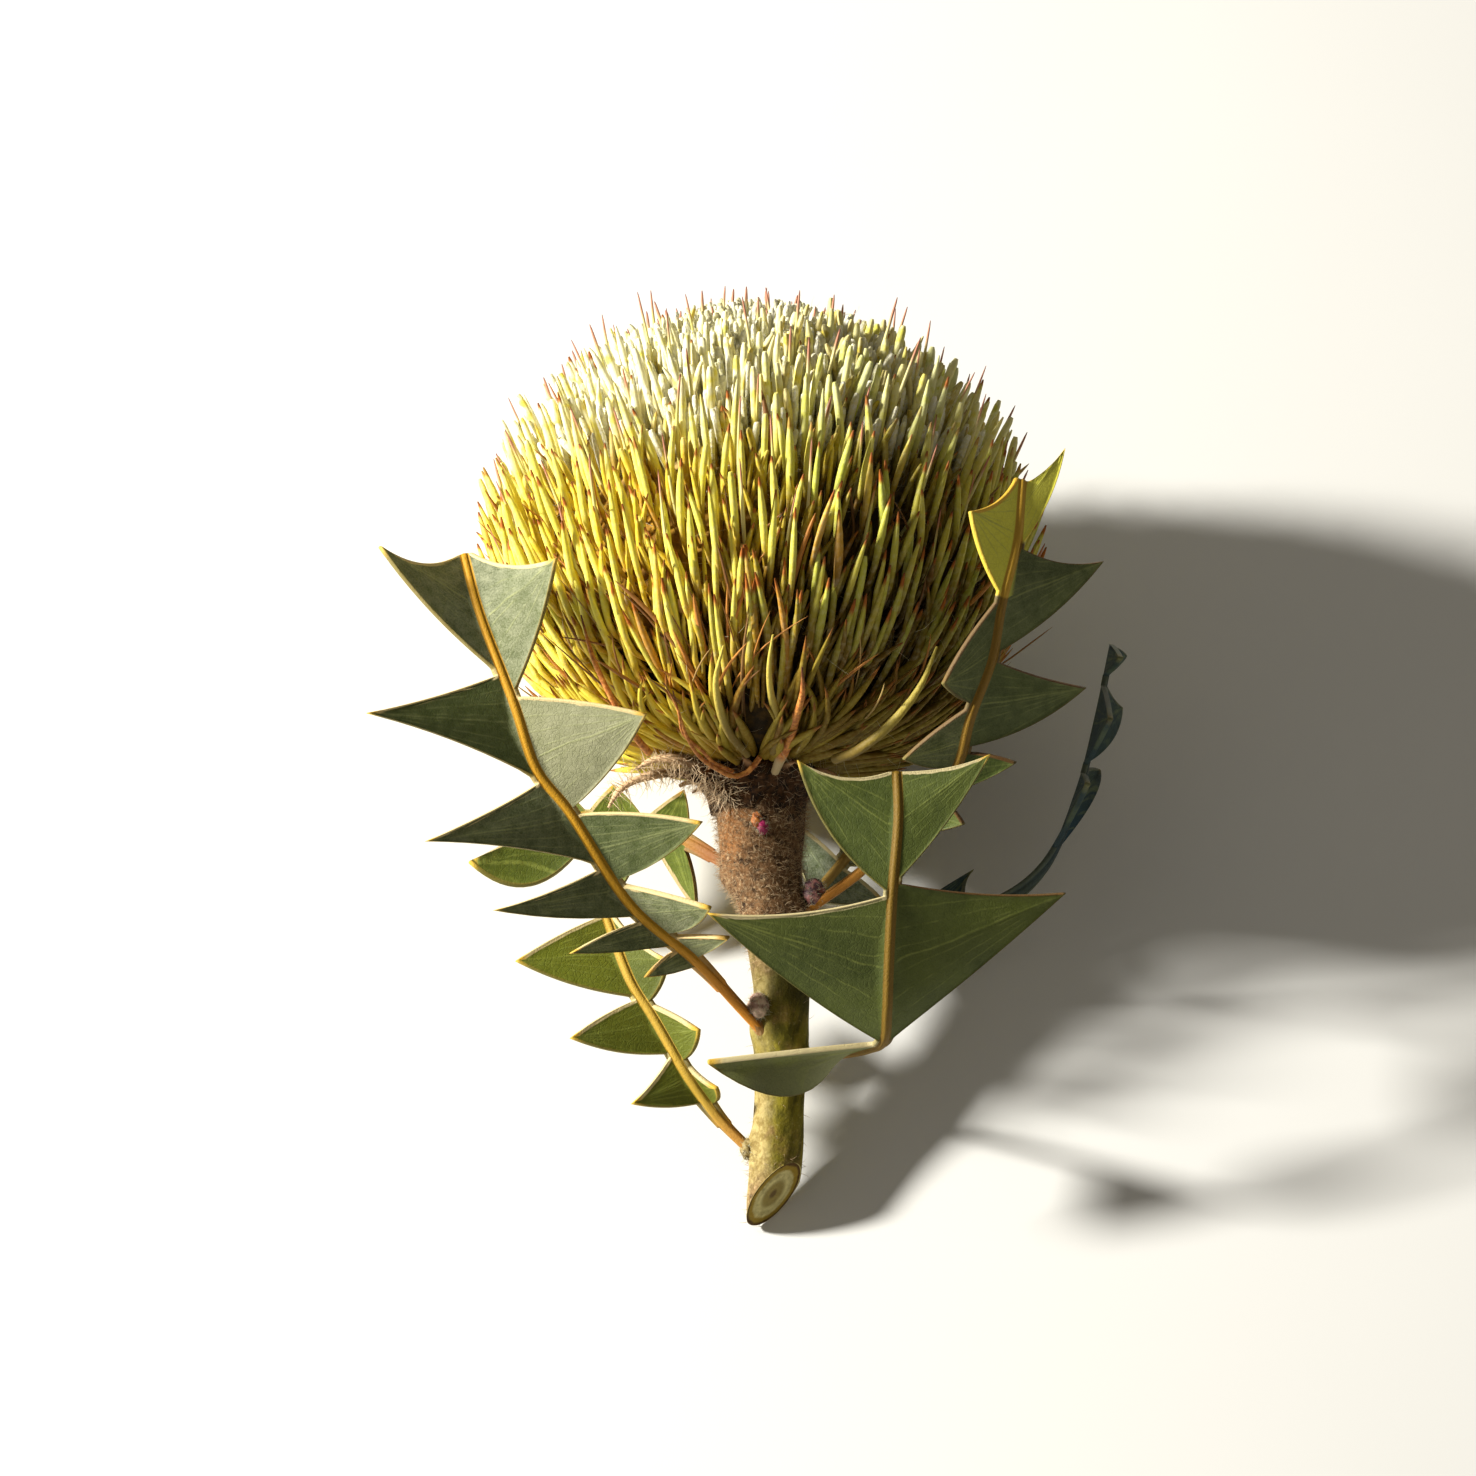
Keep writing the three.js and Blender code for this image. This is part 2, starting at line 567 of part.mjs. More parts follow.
function leafSolid(leaf) {
  const curve = new THREE.CatmullRomCurve3(leaf.midrib.map(seen), false, 'centripetal');
  const chord = (lobe) => curve.getPointAt(lobe.to).sub(curve.getPointAt(lobe.from));
  const middle = (lobe) => curve.getPointAt((lobe.from + lobe.to) / 2);
  // The face that the viewer sees has its normal toward the viewer, on each side.
  const sideNormals = (lobes, sign) => lobes.map((lobe) => ({
    at: (lobe.from + lobe.to) / 2,
    normal: chord(lobe).cross(seen(lobe.tip).sub(middle(lobe))).multiplyScalar(sign).normalize(),
  }));
  const normals = { left: sideNormals(leaf.left, 1), right: sideNormals(leaf.right, -1) };
  const normalAt = (side, share) => {
    const list = normals[side];
    const after = list.findIndex(({ at }) => at >= share);
    if (after === -1) return list[list.length - 1].normal.clone();
    if (after === 0) return list[0].normal.clone();
    const before = list[after - 1];
    const mix = (share - before.at) / (list[after].at - before.at);
    return before.normal.clone().lerp(list[after].normal, mix).normalize();
  };
  const rim = (side, share, across, sign) => {
    const notch = (at) => curve.getPointAt(at).addScaledVector(across, sign * notchHalfWidth);
    const lobe = leaf[side].find(({ from, to }) => share >= from && share <= to);
    if (!lobe) {
      const first = leaf[side][0].from;
      const half = share < first ? wingHalfWidth + (notchHalfWidth - wingHalfWidth) * (share / first) ** 3 : notchHalfWidth;
      return curve.getPointAt(share).addScaledVector(across, sign * half);
    }
    const tip = seen(lobe.tip);
    const normal = normalAt(side, (lobe.from + lobe.to) / 2).multiplyScalar(sign);
    if (share <= lobe.peak) {
      const part = (share - lobe.from) / (lobe.peak - lobe.from);
      if (lobe.through) return bendThrough(notch(lobe.from), tip, seen(lobe.through), part);
      return bend(notch(lobe.from), tip, -lobe.lower, normal, part);
    }
    const part = (lobe.to - share) / (lobe.to - lobe.peak);
    return bend(notch(lobe.to), tip, lobe.upper, normal, part);
  };
  const rows = leafRows(leaf).map((share) => {
    const centre = curve.getPointAt(share);
    const along = curve.getTangentAt(share);
    const leftNormal = normalAt('left', share);
    const rightNormal = normalAt('right', share);
    const facing = leftNormal.clone().add(rightNormal);
    facing.addScaledVector(along, -facing.dot(along)).normalize();
    const across = new THREE.Vector3().crossVectors(facing, along).normalize();
    const ribHalf = ribHalfWidth + (ribTipHalfWidth - ribHalfWidth) * share;
    const left = rim('left', share, across, 1);
    const right = rim('right', share, across, -1);
    const ribLeft = centre.clone().addScaledVector(across, ribHalf);
    const ribRight = centre.clone().addScaledVector(across, -ribHalf);
    const half = bladeThickness / 2;
    const spots = [
      [left, leftNormal, half], [left.clone().lerp(ribLeft, 0.5), leftNormal, half], [ribLeft, facing, half],
      [centre, facing, half + ribRise],
      [ribRight, facing, half], [right.clone().lerp(ribRight, 0.5), rightNormal, half], [right, rightNormal, half],
    ];
    const front = spots.map(([point, normal, rise]) => point.clone().addScaledVector(normal, rise));
    const behind = spots.map(([point, normal]) => point.clone().addScaledVector(normal, -half));
    return [...front, ...behind.reverse()];
  });
  return solidOf(skin(rows));
}

// Lay the flower down, front side up, head along +Y.
const backWay = new THREE.Vector3(0, Math.sin(stemSlope), -Math.cos(stemSlope));
const upWay = new THREE.Vector3(0, Math.cos(stemSlope), Math.sin(stemSlope));
const layDown = new THREE.Matrix4()
  .makeBasis(new THREE.Vector3(1, 0, 0), backWay, upWay)
  .setPosition(0, 0, restLift);

function laid(solid) {
  const geometry = geometryFrom(solid);
  geometry.applyMatrix4(layDown);
  return geometry;
}

// What would sink into the surface under the flower is pressed flat on it.
function pressed(solid) {
  const ground = new THREE.BoxGeometry(...groundBlock);
  ground.translate(0, 0, -groundBlock[2] / 2);
  return geometryFrom(solidOf(laid(solid)).subtract(solidOf(ground)));
}

const flower = new THREE.Group();
flower.name = 'birds_nest_banksia';

function place(name, geometry, colour, roughness) {
  const material = new THREE.MeshStandardMaterial({ color: colour, roughness, metalness: 0 });
  const mesh = new THREE.Mesh(geometry, material);
  mesh.name = name;
  flower.add(mesh);
}

place('stem', pressed(wholeStem()), colours.stem, 0.85);
place('bracts', laid(bractsSolid()), colours.bracts, 0.95);
place('flower_head', pressed(joined([lowerCore, ...floretSolids(), ...basalSolids()])), colours.florets, 0.7);
place('flower_crown', laid(joined([upperCore, ...crownSolids()])), colours.crown, 0.9);
const room = stemRoom(leafSeat);
leaves.forEach((leaf) => place(leaf.name, laid(leafSolid(leaf).subtract(room)), leaf.colour, 0.6));

// Origin in the middle of the footprint, on the surface.
const bounds = new THREE.Box3().setFromObject(flower);
const middle = bounds.getCenter(new THREE.Vector3());
flower.children.forEach((mesh) => mesh.geometry.translate(-middle.x, -middle.y, -bounds.min.z));

export default flower;
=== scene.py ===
import bpy
import math
import random
import numpy as np
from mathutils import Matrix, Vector


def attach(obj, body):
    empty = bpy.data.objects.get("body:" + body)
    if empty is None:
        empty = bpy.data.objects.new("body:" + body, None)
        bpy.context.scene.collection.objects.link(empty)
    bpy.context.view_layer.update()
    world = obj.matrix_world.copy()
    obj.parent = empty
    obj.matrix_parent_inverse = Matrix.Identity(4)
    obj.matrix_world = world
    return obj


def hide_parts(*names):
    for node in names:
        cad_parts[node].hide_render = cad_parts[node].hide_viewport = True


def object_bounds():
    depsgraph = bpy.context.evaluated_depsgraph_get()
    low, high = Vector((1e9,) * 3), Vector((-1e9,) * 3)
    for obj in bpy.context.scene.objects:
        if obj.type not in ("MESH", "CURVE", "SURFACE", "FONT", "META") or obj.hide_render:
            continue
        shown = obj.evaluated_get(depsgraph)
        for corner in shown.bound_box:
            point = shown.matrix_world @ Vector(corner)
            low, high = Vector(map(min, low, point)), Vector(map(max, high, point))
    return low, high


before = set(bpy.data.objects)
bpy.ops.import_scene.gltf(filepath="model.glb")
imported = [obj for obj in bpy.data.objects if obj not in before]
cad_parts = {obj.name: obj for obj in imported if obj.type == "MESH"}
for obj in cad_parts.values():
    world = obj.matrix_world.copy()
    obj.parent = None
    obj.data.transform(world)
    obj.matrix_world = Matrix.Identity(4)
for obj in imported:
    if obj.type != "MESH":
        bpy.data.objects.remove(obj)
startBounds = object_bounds()
print("scene: frame loaded")

# How the flower was seen and how it lies. Sizes are in mm on the upright flower: right, up and back.
pose = {
    "seenFromBelow": math.radians(10),
    "stemSlope": math.radians(22),
    "restLift": 4.8,
    "shift": (3.8066, -69.5154),
    "headAxis": -2.6,
    "coreOutline": [(0, 70.3), (11, 70.3), (26, 75.5), (36.3, 86), (40.3, 98.5), (37.2, 112.5),
                    (30.2, 124.8), (20.6, 134.2), (11, 139.4), (0, 141.3)],
    "goldenAngle": math.pi * (3 - math.sqrt(5)),
    "floorGap": 0.00002,  # in metres
    "styleRise": 0.0018,  # in metres
}


def seen(point):
    right, up, back = point
    rise = (up + back * math.sin(pose["seenFromBelow"])) / math.cos(pose["seenFromBelow"])
    return np.array([right, back, rise], dtype=float)


# From the upright flower in millimetres to the lying one in metres.
def lay(points):
    flat = np.asarray(points, dtype=float).reshape(-1, 3)
    sine, cosine = math.sin(pose["stemSlope"]), math.cos(pose["stemSlope"])
    laid = np.empty_like(flat)
    laid[:, 0] = flat[:, 0] + pose["shift"][0]
    laid[:, 1] = flat[:, 1] * sine + flat[:, 2] * cosine + pose["shift"][1]
    laid[:, 2] = -flat[:, 1] * cosine + flat[:, 2] * sine + pose["restLift"]
    return laid * 0.001


def unit(vector):
    return vector / max(np.linalg.norm(vector), 1e-9)


def around(angle):
    return np.array([math.cos(angle), math.sin(angle), 0.0])


def limited(value, low=0, high=1):
    return min(max(value, low), high)


# The output of a node, so that sums of outputs can be written as expressions.
class Wire:
    def __init__(self, net, socket):
        self.net = net
        self.socket = socket

    def calc(self, operation, *others, clamp=False):
        return self.net.sum(operation, (self, *others), clamp)

    def most(self, other):
        return self.calc("MAXIMUM", other)

    def share(self):
        return self.calc("FRACT")

    def clipped(self):
        return self.calc("ADD", 0.0, clamp=True)

    # Rises smoothly from 0 at low to 1 at high, or falls where low is above high.
    def step(self, low, high):
        return self.net.node("ShaderNodeMapRange", {"interpolation_type": "SMOOTHSTEP"},
                             {"Value": self, "From Min": low, "From Max": high})

    def other(self, output):
        return Wire(self.net, self.socket.node.outputs[output])


def forward(operation):
    return lambda wire, other: wire.net.sum(operation, (wire, other))


def backward(operation):
    return lambda wire, other: wire.net.sum(operation, (other, wire))


for sign, operation in (("add", "ADD"), ("sub", "SUBTRACT"), ("mul", "MULTIPLY"), ("truediv", "DIVIDE")):
    setattr(Wire, f"__{sign}__", forward(operation))
    setattr(Wire, f"__r{sign}__", backward(operation))


# From a colour as read, 0 to 255, to the linear numbers that shaders take.
def tint(colour):
    shares = [value / 255 for value in colour]
    return [share / 12.92 if share <= 0.04045 else ((share + 0.055) / 1.055) ** 2.4 for share in shares]


# A tree of nodes. An input takes a wire, a number, or a colour as read, 0 to 255.
class Net:
    def __init__(self, tree):
        self.tree = tree

    def feed(self, socket, value):
        if isinstance(value, Wire):
            self.tree.links.new(value.socket, socket)
        elif socket.type == "RGBA":
            socket.default_value = (*tint(value), 1.0)
        else:
            socket.default_value = value

    def node(self, kind, settings=None, inputs=None, output=0):
        made = self.tree.nodes.new(kind)
        for key, value in (settings or {}).items():
            setattr(made, key, value)
        for key, value in (inputs or {}).items():
            self.feed(made.inputs[key], value)
        return Wire(self, made.outputs[output]) if made.outputs else None

    def sum(self, operation, values, clamp=False):
        settings = {"operation": operation, "use_clamp": clamp}
        return self.node("ShaderNodeMath", settings, dict(enumerate(values)))


# A material. Its paint is built up in layers, each over the last.
class Graph(Net):
    def __init__(self, name, **constants):
        self.material = bpy.data.materials.new(name)
        self.material.use_nodes = True
        super().__init__(self.material.node_tree)
        self.shader = next(n for n in self.tree.nodes if n.type == "BSDF_PRINCIPLED")
        self.paint = None
        for key, value in constants.items():
            self.shader.inputs[key.replace("_", " ")].default_value = value

    def attributes(self, *names):
        return [self.node("ShaderNodeAttribute", {"attribute_name": name}, output="Fac") for name in names]

    def place(self):
        return self.node("ShaderNodeTexCoord", output="Object")

    def rightward(self):
        return self.node("ShaderNodeSeparateXYZ", None, {"Vector": self.place()})

    def noise(self, scale, detail=3.0, roughness=0.55, vector=None):
        return self.node("ShaderNodeTexNoise", None, {
            "Vector": vector or self.place(), "Scale": scale, "Detail": detail, "Roughness": roughness})

    def mix(self, factor, first, second):
        return self.node("ShaderNodeMix", {"data_type": "RGBA"}, {0: factor, 6: first, 7: second}, 2)

    def over(self, factor, colour):
        self.paint = self.mix(factor, self.paint, colour)

    def finish(self, bump=None, **links):
        if bump:
            inputs = dict(zip(("Height", "Strength", "Distance"), bump))
            links["Normal"] = self.node("ShaderNodeBump", None, inputs)
        for key, value in {"Base Color": self.paint, **links}.items():
            self.feed(self.shader.inputs[key], value)
        return self.material


# A Geometry Nodes tree with named inputs.
class ShapeNet(Net):
    def __init__(self, name, inputs):
        super().__init__(bpy.data.node_groups.new(name, "GeometryNodeTree"))
        self.names = {}
        for key, kind in (("Geometry", "Geometry"), *inputs, ("Material", "Material")):
            made = self.tree.interface.new_socket(key, in_out="INPUT", socket_type="NodeSocket" + kind)
            self.names[key] = made.identifier
        self.tree.interface.new_socket("Geometry", in_out="OUTPUT", socket_type="NodeSocketGeometry")

    def given(self, key):
        return self.node("NodeGroupInput", output=key)

    def attribute(self, name):
        kind, settings = "GeometryNodeInputNamedAttribute", {"data_type": "FLOAT"}
        return self.node(kind, settings, {"Name": name}, "Attribute")

    def tube(self, curve, sides, scale):
        ring = self.node("GeometryNodeCurvePrimitiveCircle", None, {"Resolution": sides, "Radius": 1.0})
        return self.node("GeometryNodeCurveToMesh", None, {
            "Curve": curve, "Profile Curve": ring, "Scale": scale, "Fill Caps": True})

    def finish(self, shape):
        real = self.node("GeometryNodeRealizeInstances", None, {"Geometry": shape})
        painted = self.node("GeometryNodeSetMaterial", None, {
            "Geometry": real, "Material": self.given("Material")})
        self.node("NodeGroupOutput", None, {"Geometry": painted})
        return self


# Geometry Nodes: every chain of edges becomes a tapering tube.
def tubeNet():
    net = ShapeNet("tubesAlongEdges", (("Sides", "Int"), ("Stoutness", "Float")))
    curve = net.node("GeometryNodeMeshToCurve", None, {"Mesh": net.given("Geometry")})
    return net.finish(net.tube(curve, net.given("Sides"), net.attribute("thick") * net.given("Stoutness")))


# Geometry Nodes: short bent hairs over a surface, denser where it is felted.
def hairNet():
    net = ShapeNet("hairsOverSurface", (("Density", "Float"), ("Seed", "Int"), ("Length", "Float"),
                                        ("Thickness", "Float"), ("Tousle", "Float")))
    length, tousle = net.given("Length"), net.given("Tousle")
    spots = net.node("GeometryNodeDistributePointsOnFaces", None, {
        "Mesh": net.given("Geometry"), "Density": net.given("Density") * net.attribute("felt"),
        "Seed": net.given("Seed")})
    bow = net.node("GeometryNodeCurveQuadraticBezier", None, {
        "Resolution": 2, "Start": (0, 0, -0.15), "Middle": (0.0, 0.05, 0.55), "End": (0.45, 0.1, 0.9)})
    taper = net.node("ShaderNodeMapRange", None, {
        "Value": net.node("GeometryNodeSplineParameter", output="Factor"), "To Min": 1.0, "To Max": 0.15})
    hair = net.tube(bow, 3, taper * (net.given("Thickness") / length))
    wild = net.node("FunctionNodeRandomValue", {"data_type": "FLOAT_VECTOR"},
                    {0: (-1, -1, -3.1), 1: (1, 1, 3.1)})
    spread = net.node("ShaderNodeCombineXYZ", None, {"X": tousle, "Y": tousle, "Z": 1.0})
    turned = net.node("ShaderNodeVectorMath", {"operation": "MULTIPLY"}, {0: wild, 1: spread})
    turn = net.node("FunctionNodeRotateRotation", {"rotation_space": "LOCAL"}, {
        0: spots.other("Rotation"), 1: net.node("FunctionNodeEulerToRotation", None, {0: turned})})
    sizes = net.node("FunctionNodeRandomValue", {"data_type": "FLOAT"}, {2: 0.5, 3: 1.2}, 1)
    return net.finish(net.node("GeometryNodeInstanceOnPoints", None, {
        "Points": spots, "Instance": hair, "Rotation": turn, "Scale": sizes * length}))


def linked(name, data):
    made = bpy.data.objects.new(name, data)
    bpy.context.scene.collection.objects.link(made)
    return made


def putAttributes(mesh, columns):
    for key, values in columns.items():
        column = mesh.attributes.new(key, "FLOAT", "POINT")
        column.data.foreach_set("value", np.asarray(values, dtype=np.float32))


def meshObject(name, points, faces, material, attributes=None, laid=True):
    mesh = bpy.data.meshes.new(name)
    spots = np.clip(lay(points), *startBounds) if laid else np.asarray(points)
    mesh.from_pydata(spots.tolist(), [], faces)
    putAttributes(mesh, attributes or {})
    mesh.materials.append(material)
    mesh.polygons.foreach_set("use_smooth", [True] * len(mesh.polygons))
    mesh.update()
    return linked(name, mesh)


# Quads over closed rings of equal count, with a fan over each end.
def ringFaces(rows, count):
    faces = []
    for i in range(rows - 1):
        for k in range(count):
            after = (k + 1) % count
            faces.append((i * count + k, i * count + after, (i + 1) * count + after, (i + 1) * count + k))
    faces.append(tuple(reversed(range(count))))
    faces.append(tuple((rows - 1) * count + k for k in range(count)))
    return faces


# Grows the tree's shapes on a mesh and turns the outcome into a plain mesh.
def grown(name, mesh, net, values):
    made = linked(name, mesh)
    modifier = made.modifiers.new(net.tree.name, "NODES")
    modifier.node_group = net.tree
    for key, value in values.items():
        modifier[net.names[key]] = value
    bpy.context.view_layer.update()
    seenBy = bpy.context.evaluated_depsgraph_get()
    made.data = bpy.data.meshes.new_from_object(made.evaluated_get(seenBy), preserve_all_data_layers=True,
                                                depsgraph=seenBy)
    made.modifiers.clear()
    bpy.data.meshes.remove(mesh)
    made.data.name = name
    if not made.data.materials:
        made.data.materials.append(values["Material"])
    made.data.polygons.foreach_set("use_smooth", [True] * len(made.data.polygons))
    made.data.update()
    return made


tubes = tubeNet()
hairs = hairNet()


# Tubes along paths: each path is (points in mm, radii in mm, seed).
def tubeObject(name, paths, sides, material, felt=0.0):
    points, thick, along, seeds, edges = [], [], [], [], []
    start = 0
    for path, radii, seed in paths:
        count = len(path)
        spots = np.asarray(path)
        run = np.concatenate([[0], np.cumsum(np.linalg.norm(np.diff(spots, axis=0), axis=1))])
        points.append(spots)
        thick.extend(radii)
        along.extend(run / run[-1])
        seeds.extend([seed] * count)
        edges.extend((start + k, start + k + 1) for k in range(count - 1))
        start += count
    upright = np.vstack(points)
    laid = lay(upright)
    radius = np.asarray(thick) * 0.001
    laid[:, 2] = np.clip(laid[:, 2], radius + pose["floorGap"], startBounds[1][2] - radius)
    mesh = bpy.data.meshes.new(name)
    mesh.from_pydata(laid.tolist(), edges, [])
    putAttributes(mesh, {"thick": radius, "along": along, "seed": seeds, "height": upright[:, 2],
                         "felt": [felt] * start})
    return grown(name, mesh, tubes, {"Sides": sides, "Stoutness": 1.0, "Material": material})


# Hairs over a surface: density a square metre, length and thickness in metres.
def hairObject(name, surface, density, seed, length, thickness, tousle, material):
    made = grown(name, surface.data.copy(), hairs, {
        "Density": density, "Seed": seed, "Length": length, "Thickness": thickness, "Tousle": tousle,
        "Material": material})
    spots = np.empty(len(made.data.vertices) * 3)
    made.data.vertices.foreach_get("co", spots)
    made.data.vertices.foreach_set("co", np.clip(spots.reshape(-1, 3), *startBounds).ravel())
    made.data.update()
    return made


def carried(made, slot, *nodes):
    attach(made, "root")
    if nodes:
        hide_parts(*nodes)
    return made


# A smooth course through points, read by share of its length.
class Course:
    def __init__(self, points, samples=160):
        knots = [np.asarray(p, dtype=float) for p in points]
        knots = [2 * knots[0] - knots[1], *knots, 2 * knots[-1] - knots[-2]]
        dense = []
        for i in range(1, len(knots) - 2):
            a, b, c, d = knots[i - 1:i + 3]
            gaps = [max(np.linalg.norm(q - p) ** 0.5, 1e-4) for p, q in ((a, b), (b, c), (c, d))]
            first = ((b - a) / gaps[0] - (c - a) / (gaps[0] + gaps[1]) + (c - b) / gaps[1]) * gaps[1]
            second = ((c - b) / gaps[1] - (d - b) / (gaps[1] + gaps[2]) + (d - c) / gaps[2]) * gaps[1]
            for t in np.linspace(0, 1, samples, endpoint=False):
                dense.append(b + first * t + (3 * (c - b) - 2 * first - second) * t * t
                             + (2 * (b - c) + first + second) * t ** 3)
        dense.append(knots[-2])
        self.points = np.array(dense)
        steps = np.linalg.norm(np.diff(self.points, axis=0), axis=1)
        self.shares = np.concatenate([[0], np.cumsum(steps)]) / steps.sum()

    def at(self, share):
        return np.array([np.interp(share, self.shares, self.points[:, k]) for k in range(3)])

    def way(self, share):
        return unit(self.at(min(share + 0.004, 1)) - self.at(max(share - 0.004, 0)))


# A single strand through points as seen on the photograph, with its radii spread evenly.
def strandPath(strand, count, kind):
    shares = np.linspace(0, 1, count)
    course = Course([seen(p) for p in strand["through"]])
    radii = np.interp(shares, np.linspace(0, 1, len(strand["radii"])), strand["radii"])
    return [course.at(share) for share in shares], radii, kind


# The core's outline, smooth, with its slope and the area below each row.
def smoothOutline(samples=900):
    knots = np.array(pose["coreOutline"], dtype=float)
    last = len(knots) - 1
    rows = []
    for t in np.linspace(0, last, samples):
        i = min(int(t), last - 1)
        w = t - i
        a, b = knots[max(i - 1, 0)], knots[i]
        c, d = knots[i + 1], knots[min(i + 2, last)]
        rows.append(0.5 * ((2 * b) + (c - a) * w + (2 * a - 5 * b + 4 * c - d) * w * w
                           + (3 * b - a - 3 * c + d) * w ** 3))
    line = np.array(rows)
    line[:, 0] = np.maximum(line[:, 0], 0)
    slope = np.gradient(line, axis=0)
    fromUp = np.arctan2(slope[:, 1], -slope[:, 0])
    steps = np.linalg.norm(np.diff(line, axis=0), axis=1) * (line[1:, 0] + line[:-1, 0]) * 0.5
    area = np.concatenate([[0], np.cumsum(steps)])
    return line, fromUp, area


outline, outlineFromUp, outlineArea = smoothOutline()


def radiusToRow(radius, above):
    rows = [i for i in range(len(outline)) if (outline[i, 1] > 100) == above]
    return min(rows, key=lambda i: abs(outline[i, 0] - radius))


# Rows of the outline that spread a count of spots evenly over the core.
def evenRows(count, low, high):
    wanted = outlineArea[low] + (np.arange(count) + 0.5) / count * (outlineArea[high] - outlineArea[low])
    return np.clip(np.searchsorted(outlineArea, wanted), low, high)


def headSpot(row, turn):
    out = around(turn)
    place = out * outline[row, 0] + np.array([pose["headAxis"], 0, outline[row, 1]])
    return place, out, outlineFromUp[row]


# Spots on a spiral over the core, each with the draws that follow it.
def spiral(seed, count, low, high, turn=0.0, jitter=0.0):
    rng = random.Random(seed)
    for i, row in enumerate(evenRows(count, low, high)):
        shift = rng.uniform(-jitter, jitter) if jitter else 0.0
        yield rng, headSpot(row, i * pose["goldenAngle"] + turn + shift)


def thinned(count):
    return count


def leaning(out, angle):
    return out * math.sin(angle) + np.array([0, 0, math.cos(angle)])


# Flower head: a dark core under many slender florets that curve up to brown points.
headLook = {
    "count": 700,
    "length": 17.2,
    "basalExtra": 6.0,
    "radius": 0.66,
    "underCount": 1820,
    "underLength": 11.4,
    "underRadius": 0.54,
    "woollyCount": 780,
    "rootDepth": 4.2,
    "tipLean": math.radians(21),
    "clear": (67.3, 128),  # heights where florets keep off the core
    "hollow": (-2.9, 74.6, 1.35, 2.0),
    "coreSides": 72,
    "coreStep": 12,
    "seed": 11,
}

floretStations = np.array([0, 0.12, 0.26, 0.4, 0.54, 0.67, 0.79, 0.88, 0.95, 1.0])
profiles = {
    "sharp": np.array([0.56, 0.6, 0.7, 0.86, 0.98, 1.0, 0.84, 0.6, 0.42, 0.2]),
    "blunt": np.array([0.62, 0.68, 0.78, 0.88, 0.95, 1.0, 1.0, 0.96, 0.84, 0.5]),
    "basal": np.array([0.6, 0.75, 0.95, 1.0, 1.0, 0.95, 0.8, 0.58, 0.32, 0.08]),
    "dry": np.array([0.8, 0.8, 0.9, 1.0, 1.05, 1.0, 0.9, 0.7, 0.4, 0.1]),
    "style": np.array([1.5, 1.5, 1.45, 1.4, 1.3, 1.15, 1.0, 0.85, 0.65, 0.25]),
}
profileHeights = np.maximum.accumulate(outline[:, 1] + np.arange(len(outline)) * 1e-6)
outlineRun = np.concatenate([[0], np.cumsum(np.linalg.norm(np.diff(outline, axis=0), axis=1))])


def coreRadius(height):
    return float(np.interp(height, profileHeights, outline[:, 0]))


# A floret leaves the core sideways, keeps clear of it and bends upward.
def floretPath(spot, length, tipLean, drift, rootTurn, lift):
    place, out, fromUp = spot
    beside = np.array([-out[1], out[0], 0.0])
    axis = np.array([pose["headAxis"], 0])
    lowest, highest = headLook["clear"]
    rootLean = limited(fromUp - rootTurn, tipLean, math.radians(104))
    point = place - leaning(out, fromUp) * headLook["rootDepth"]
    path = [point]
    for before, share in zip(floretStations, floretStations[1:]):
        ease = min((share + before) / 1.1, 1.0)
        ease = ease * ease * (3 - 2 * ease)
        way = leaning(out, rootLean + (tipLean - rootLean) * ease) + beside * drift * share
        point = point + unit(way) * length * (share - before)
        flat = point[:2] - axis
        reach = np.linalg.norm(flat)
        wanted = coreRadius(point[2]) - headLook["rootDepth"] + lift * share
        if lowest < point[2] < highest and reach < wanted:
            point[:2] = axis + flat / reach * wanted
        path.append(point.copy())
    return path


# A strand that starts under the head and hugs the core as it climbs.
def huggingPath(turn, startRadius, length, drift, depth, rise):
    row = radiusToRow(startRadius, False)
    path = []
    for share in floretStations:
        run = outlineRun[row] + length * share
        radius, level, fromUp = (np.interp(run, outlineRun, column)
                                 for column in (outline[:, 0], outline[:, 1], outlineFromUp))
        out = around(turn + drift * share * share)
        off = -depth + rise * share ** 1.7
        path.append(out * radius + leaning(out, fromUp) * off + np.array([pose["headAxis"], 0, level]))
    return path


# The dark hollow low on the front stays free of florets.
def overHollow(path):
    right, up, width, height = headLook["hollow"]
    tilt = pose["seenFromBelow"]
    for x, y, z in path:
        rise = z * math.cos(tilt) - y * math.sin(tilt)
        if y < -4 and ((x - right) / width) ** 2 + ((rise - up) / height) ** 2 < 1:
            return True
    return False


def lowness(fromUp):
    return limited((fromUp - 1.75) / 0.9)


# Upper florets mostly end bluntly, lower ones in a long point. Seeds above 1 mark blunt ones.
def shaped(rng, path, fromUp, stout):
    blunt = rng.random() < limited((1.5 - fromUp) / 0.8, 0.03, 0.8)
    return path, profiles["blunt" if blunt else "sharp"] * stout, rng.random() + (1.0 if blunt else 0.0)


def floretPaths(values):
    low, high = radiusToRow(14, False), radiusToRow(20.5, True)
    paths = []
    for rng, spot in spiral(values["seed"], thinned(values["count"]), low, high, 0.0, 0.04):
        fromUp = spot[2]
        tipLean = min(fromUp * 0.36, values["tipLean"]) + rng.gauss(0, 0.07)
        top = limited((1.25 - fromUp) / 0.6)
        length = values["length"] * (1 - 0.36 * top) + values["basalExtra"] * lowness(fromUp)
        path = floretPath(spot, length * rng.uniform(0.84, 1.12), tipLean, rng.gauss(0, 0.14),
                          math.radians(32), rng.uniform(5.4, 7.4))
        stout = values["radius"] * rng.uniform(0.82, 1.12)
        if not overHollow(path):
            paths.append(shaped(rng, path, fromUp, stout))
    return paths


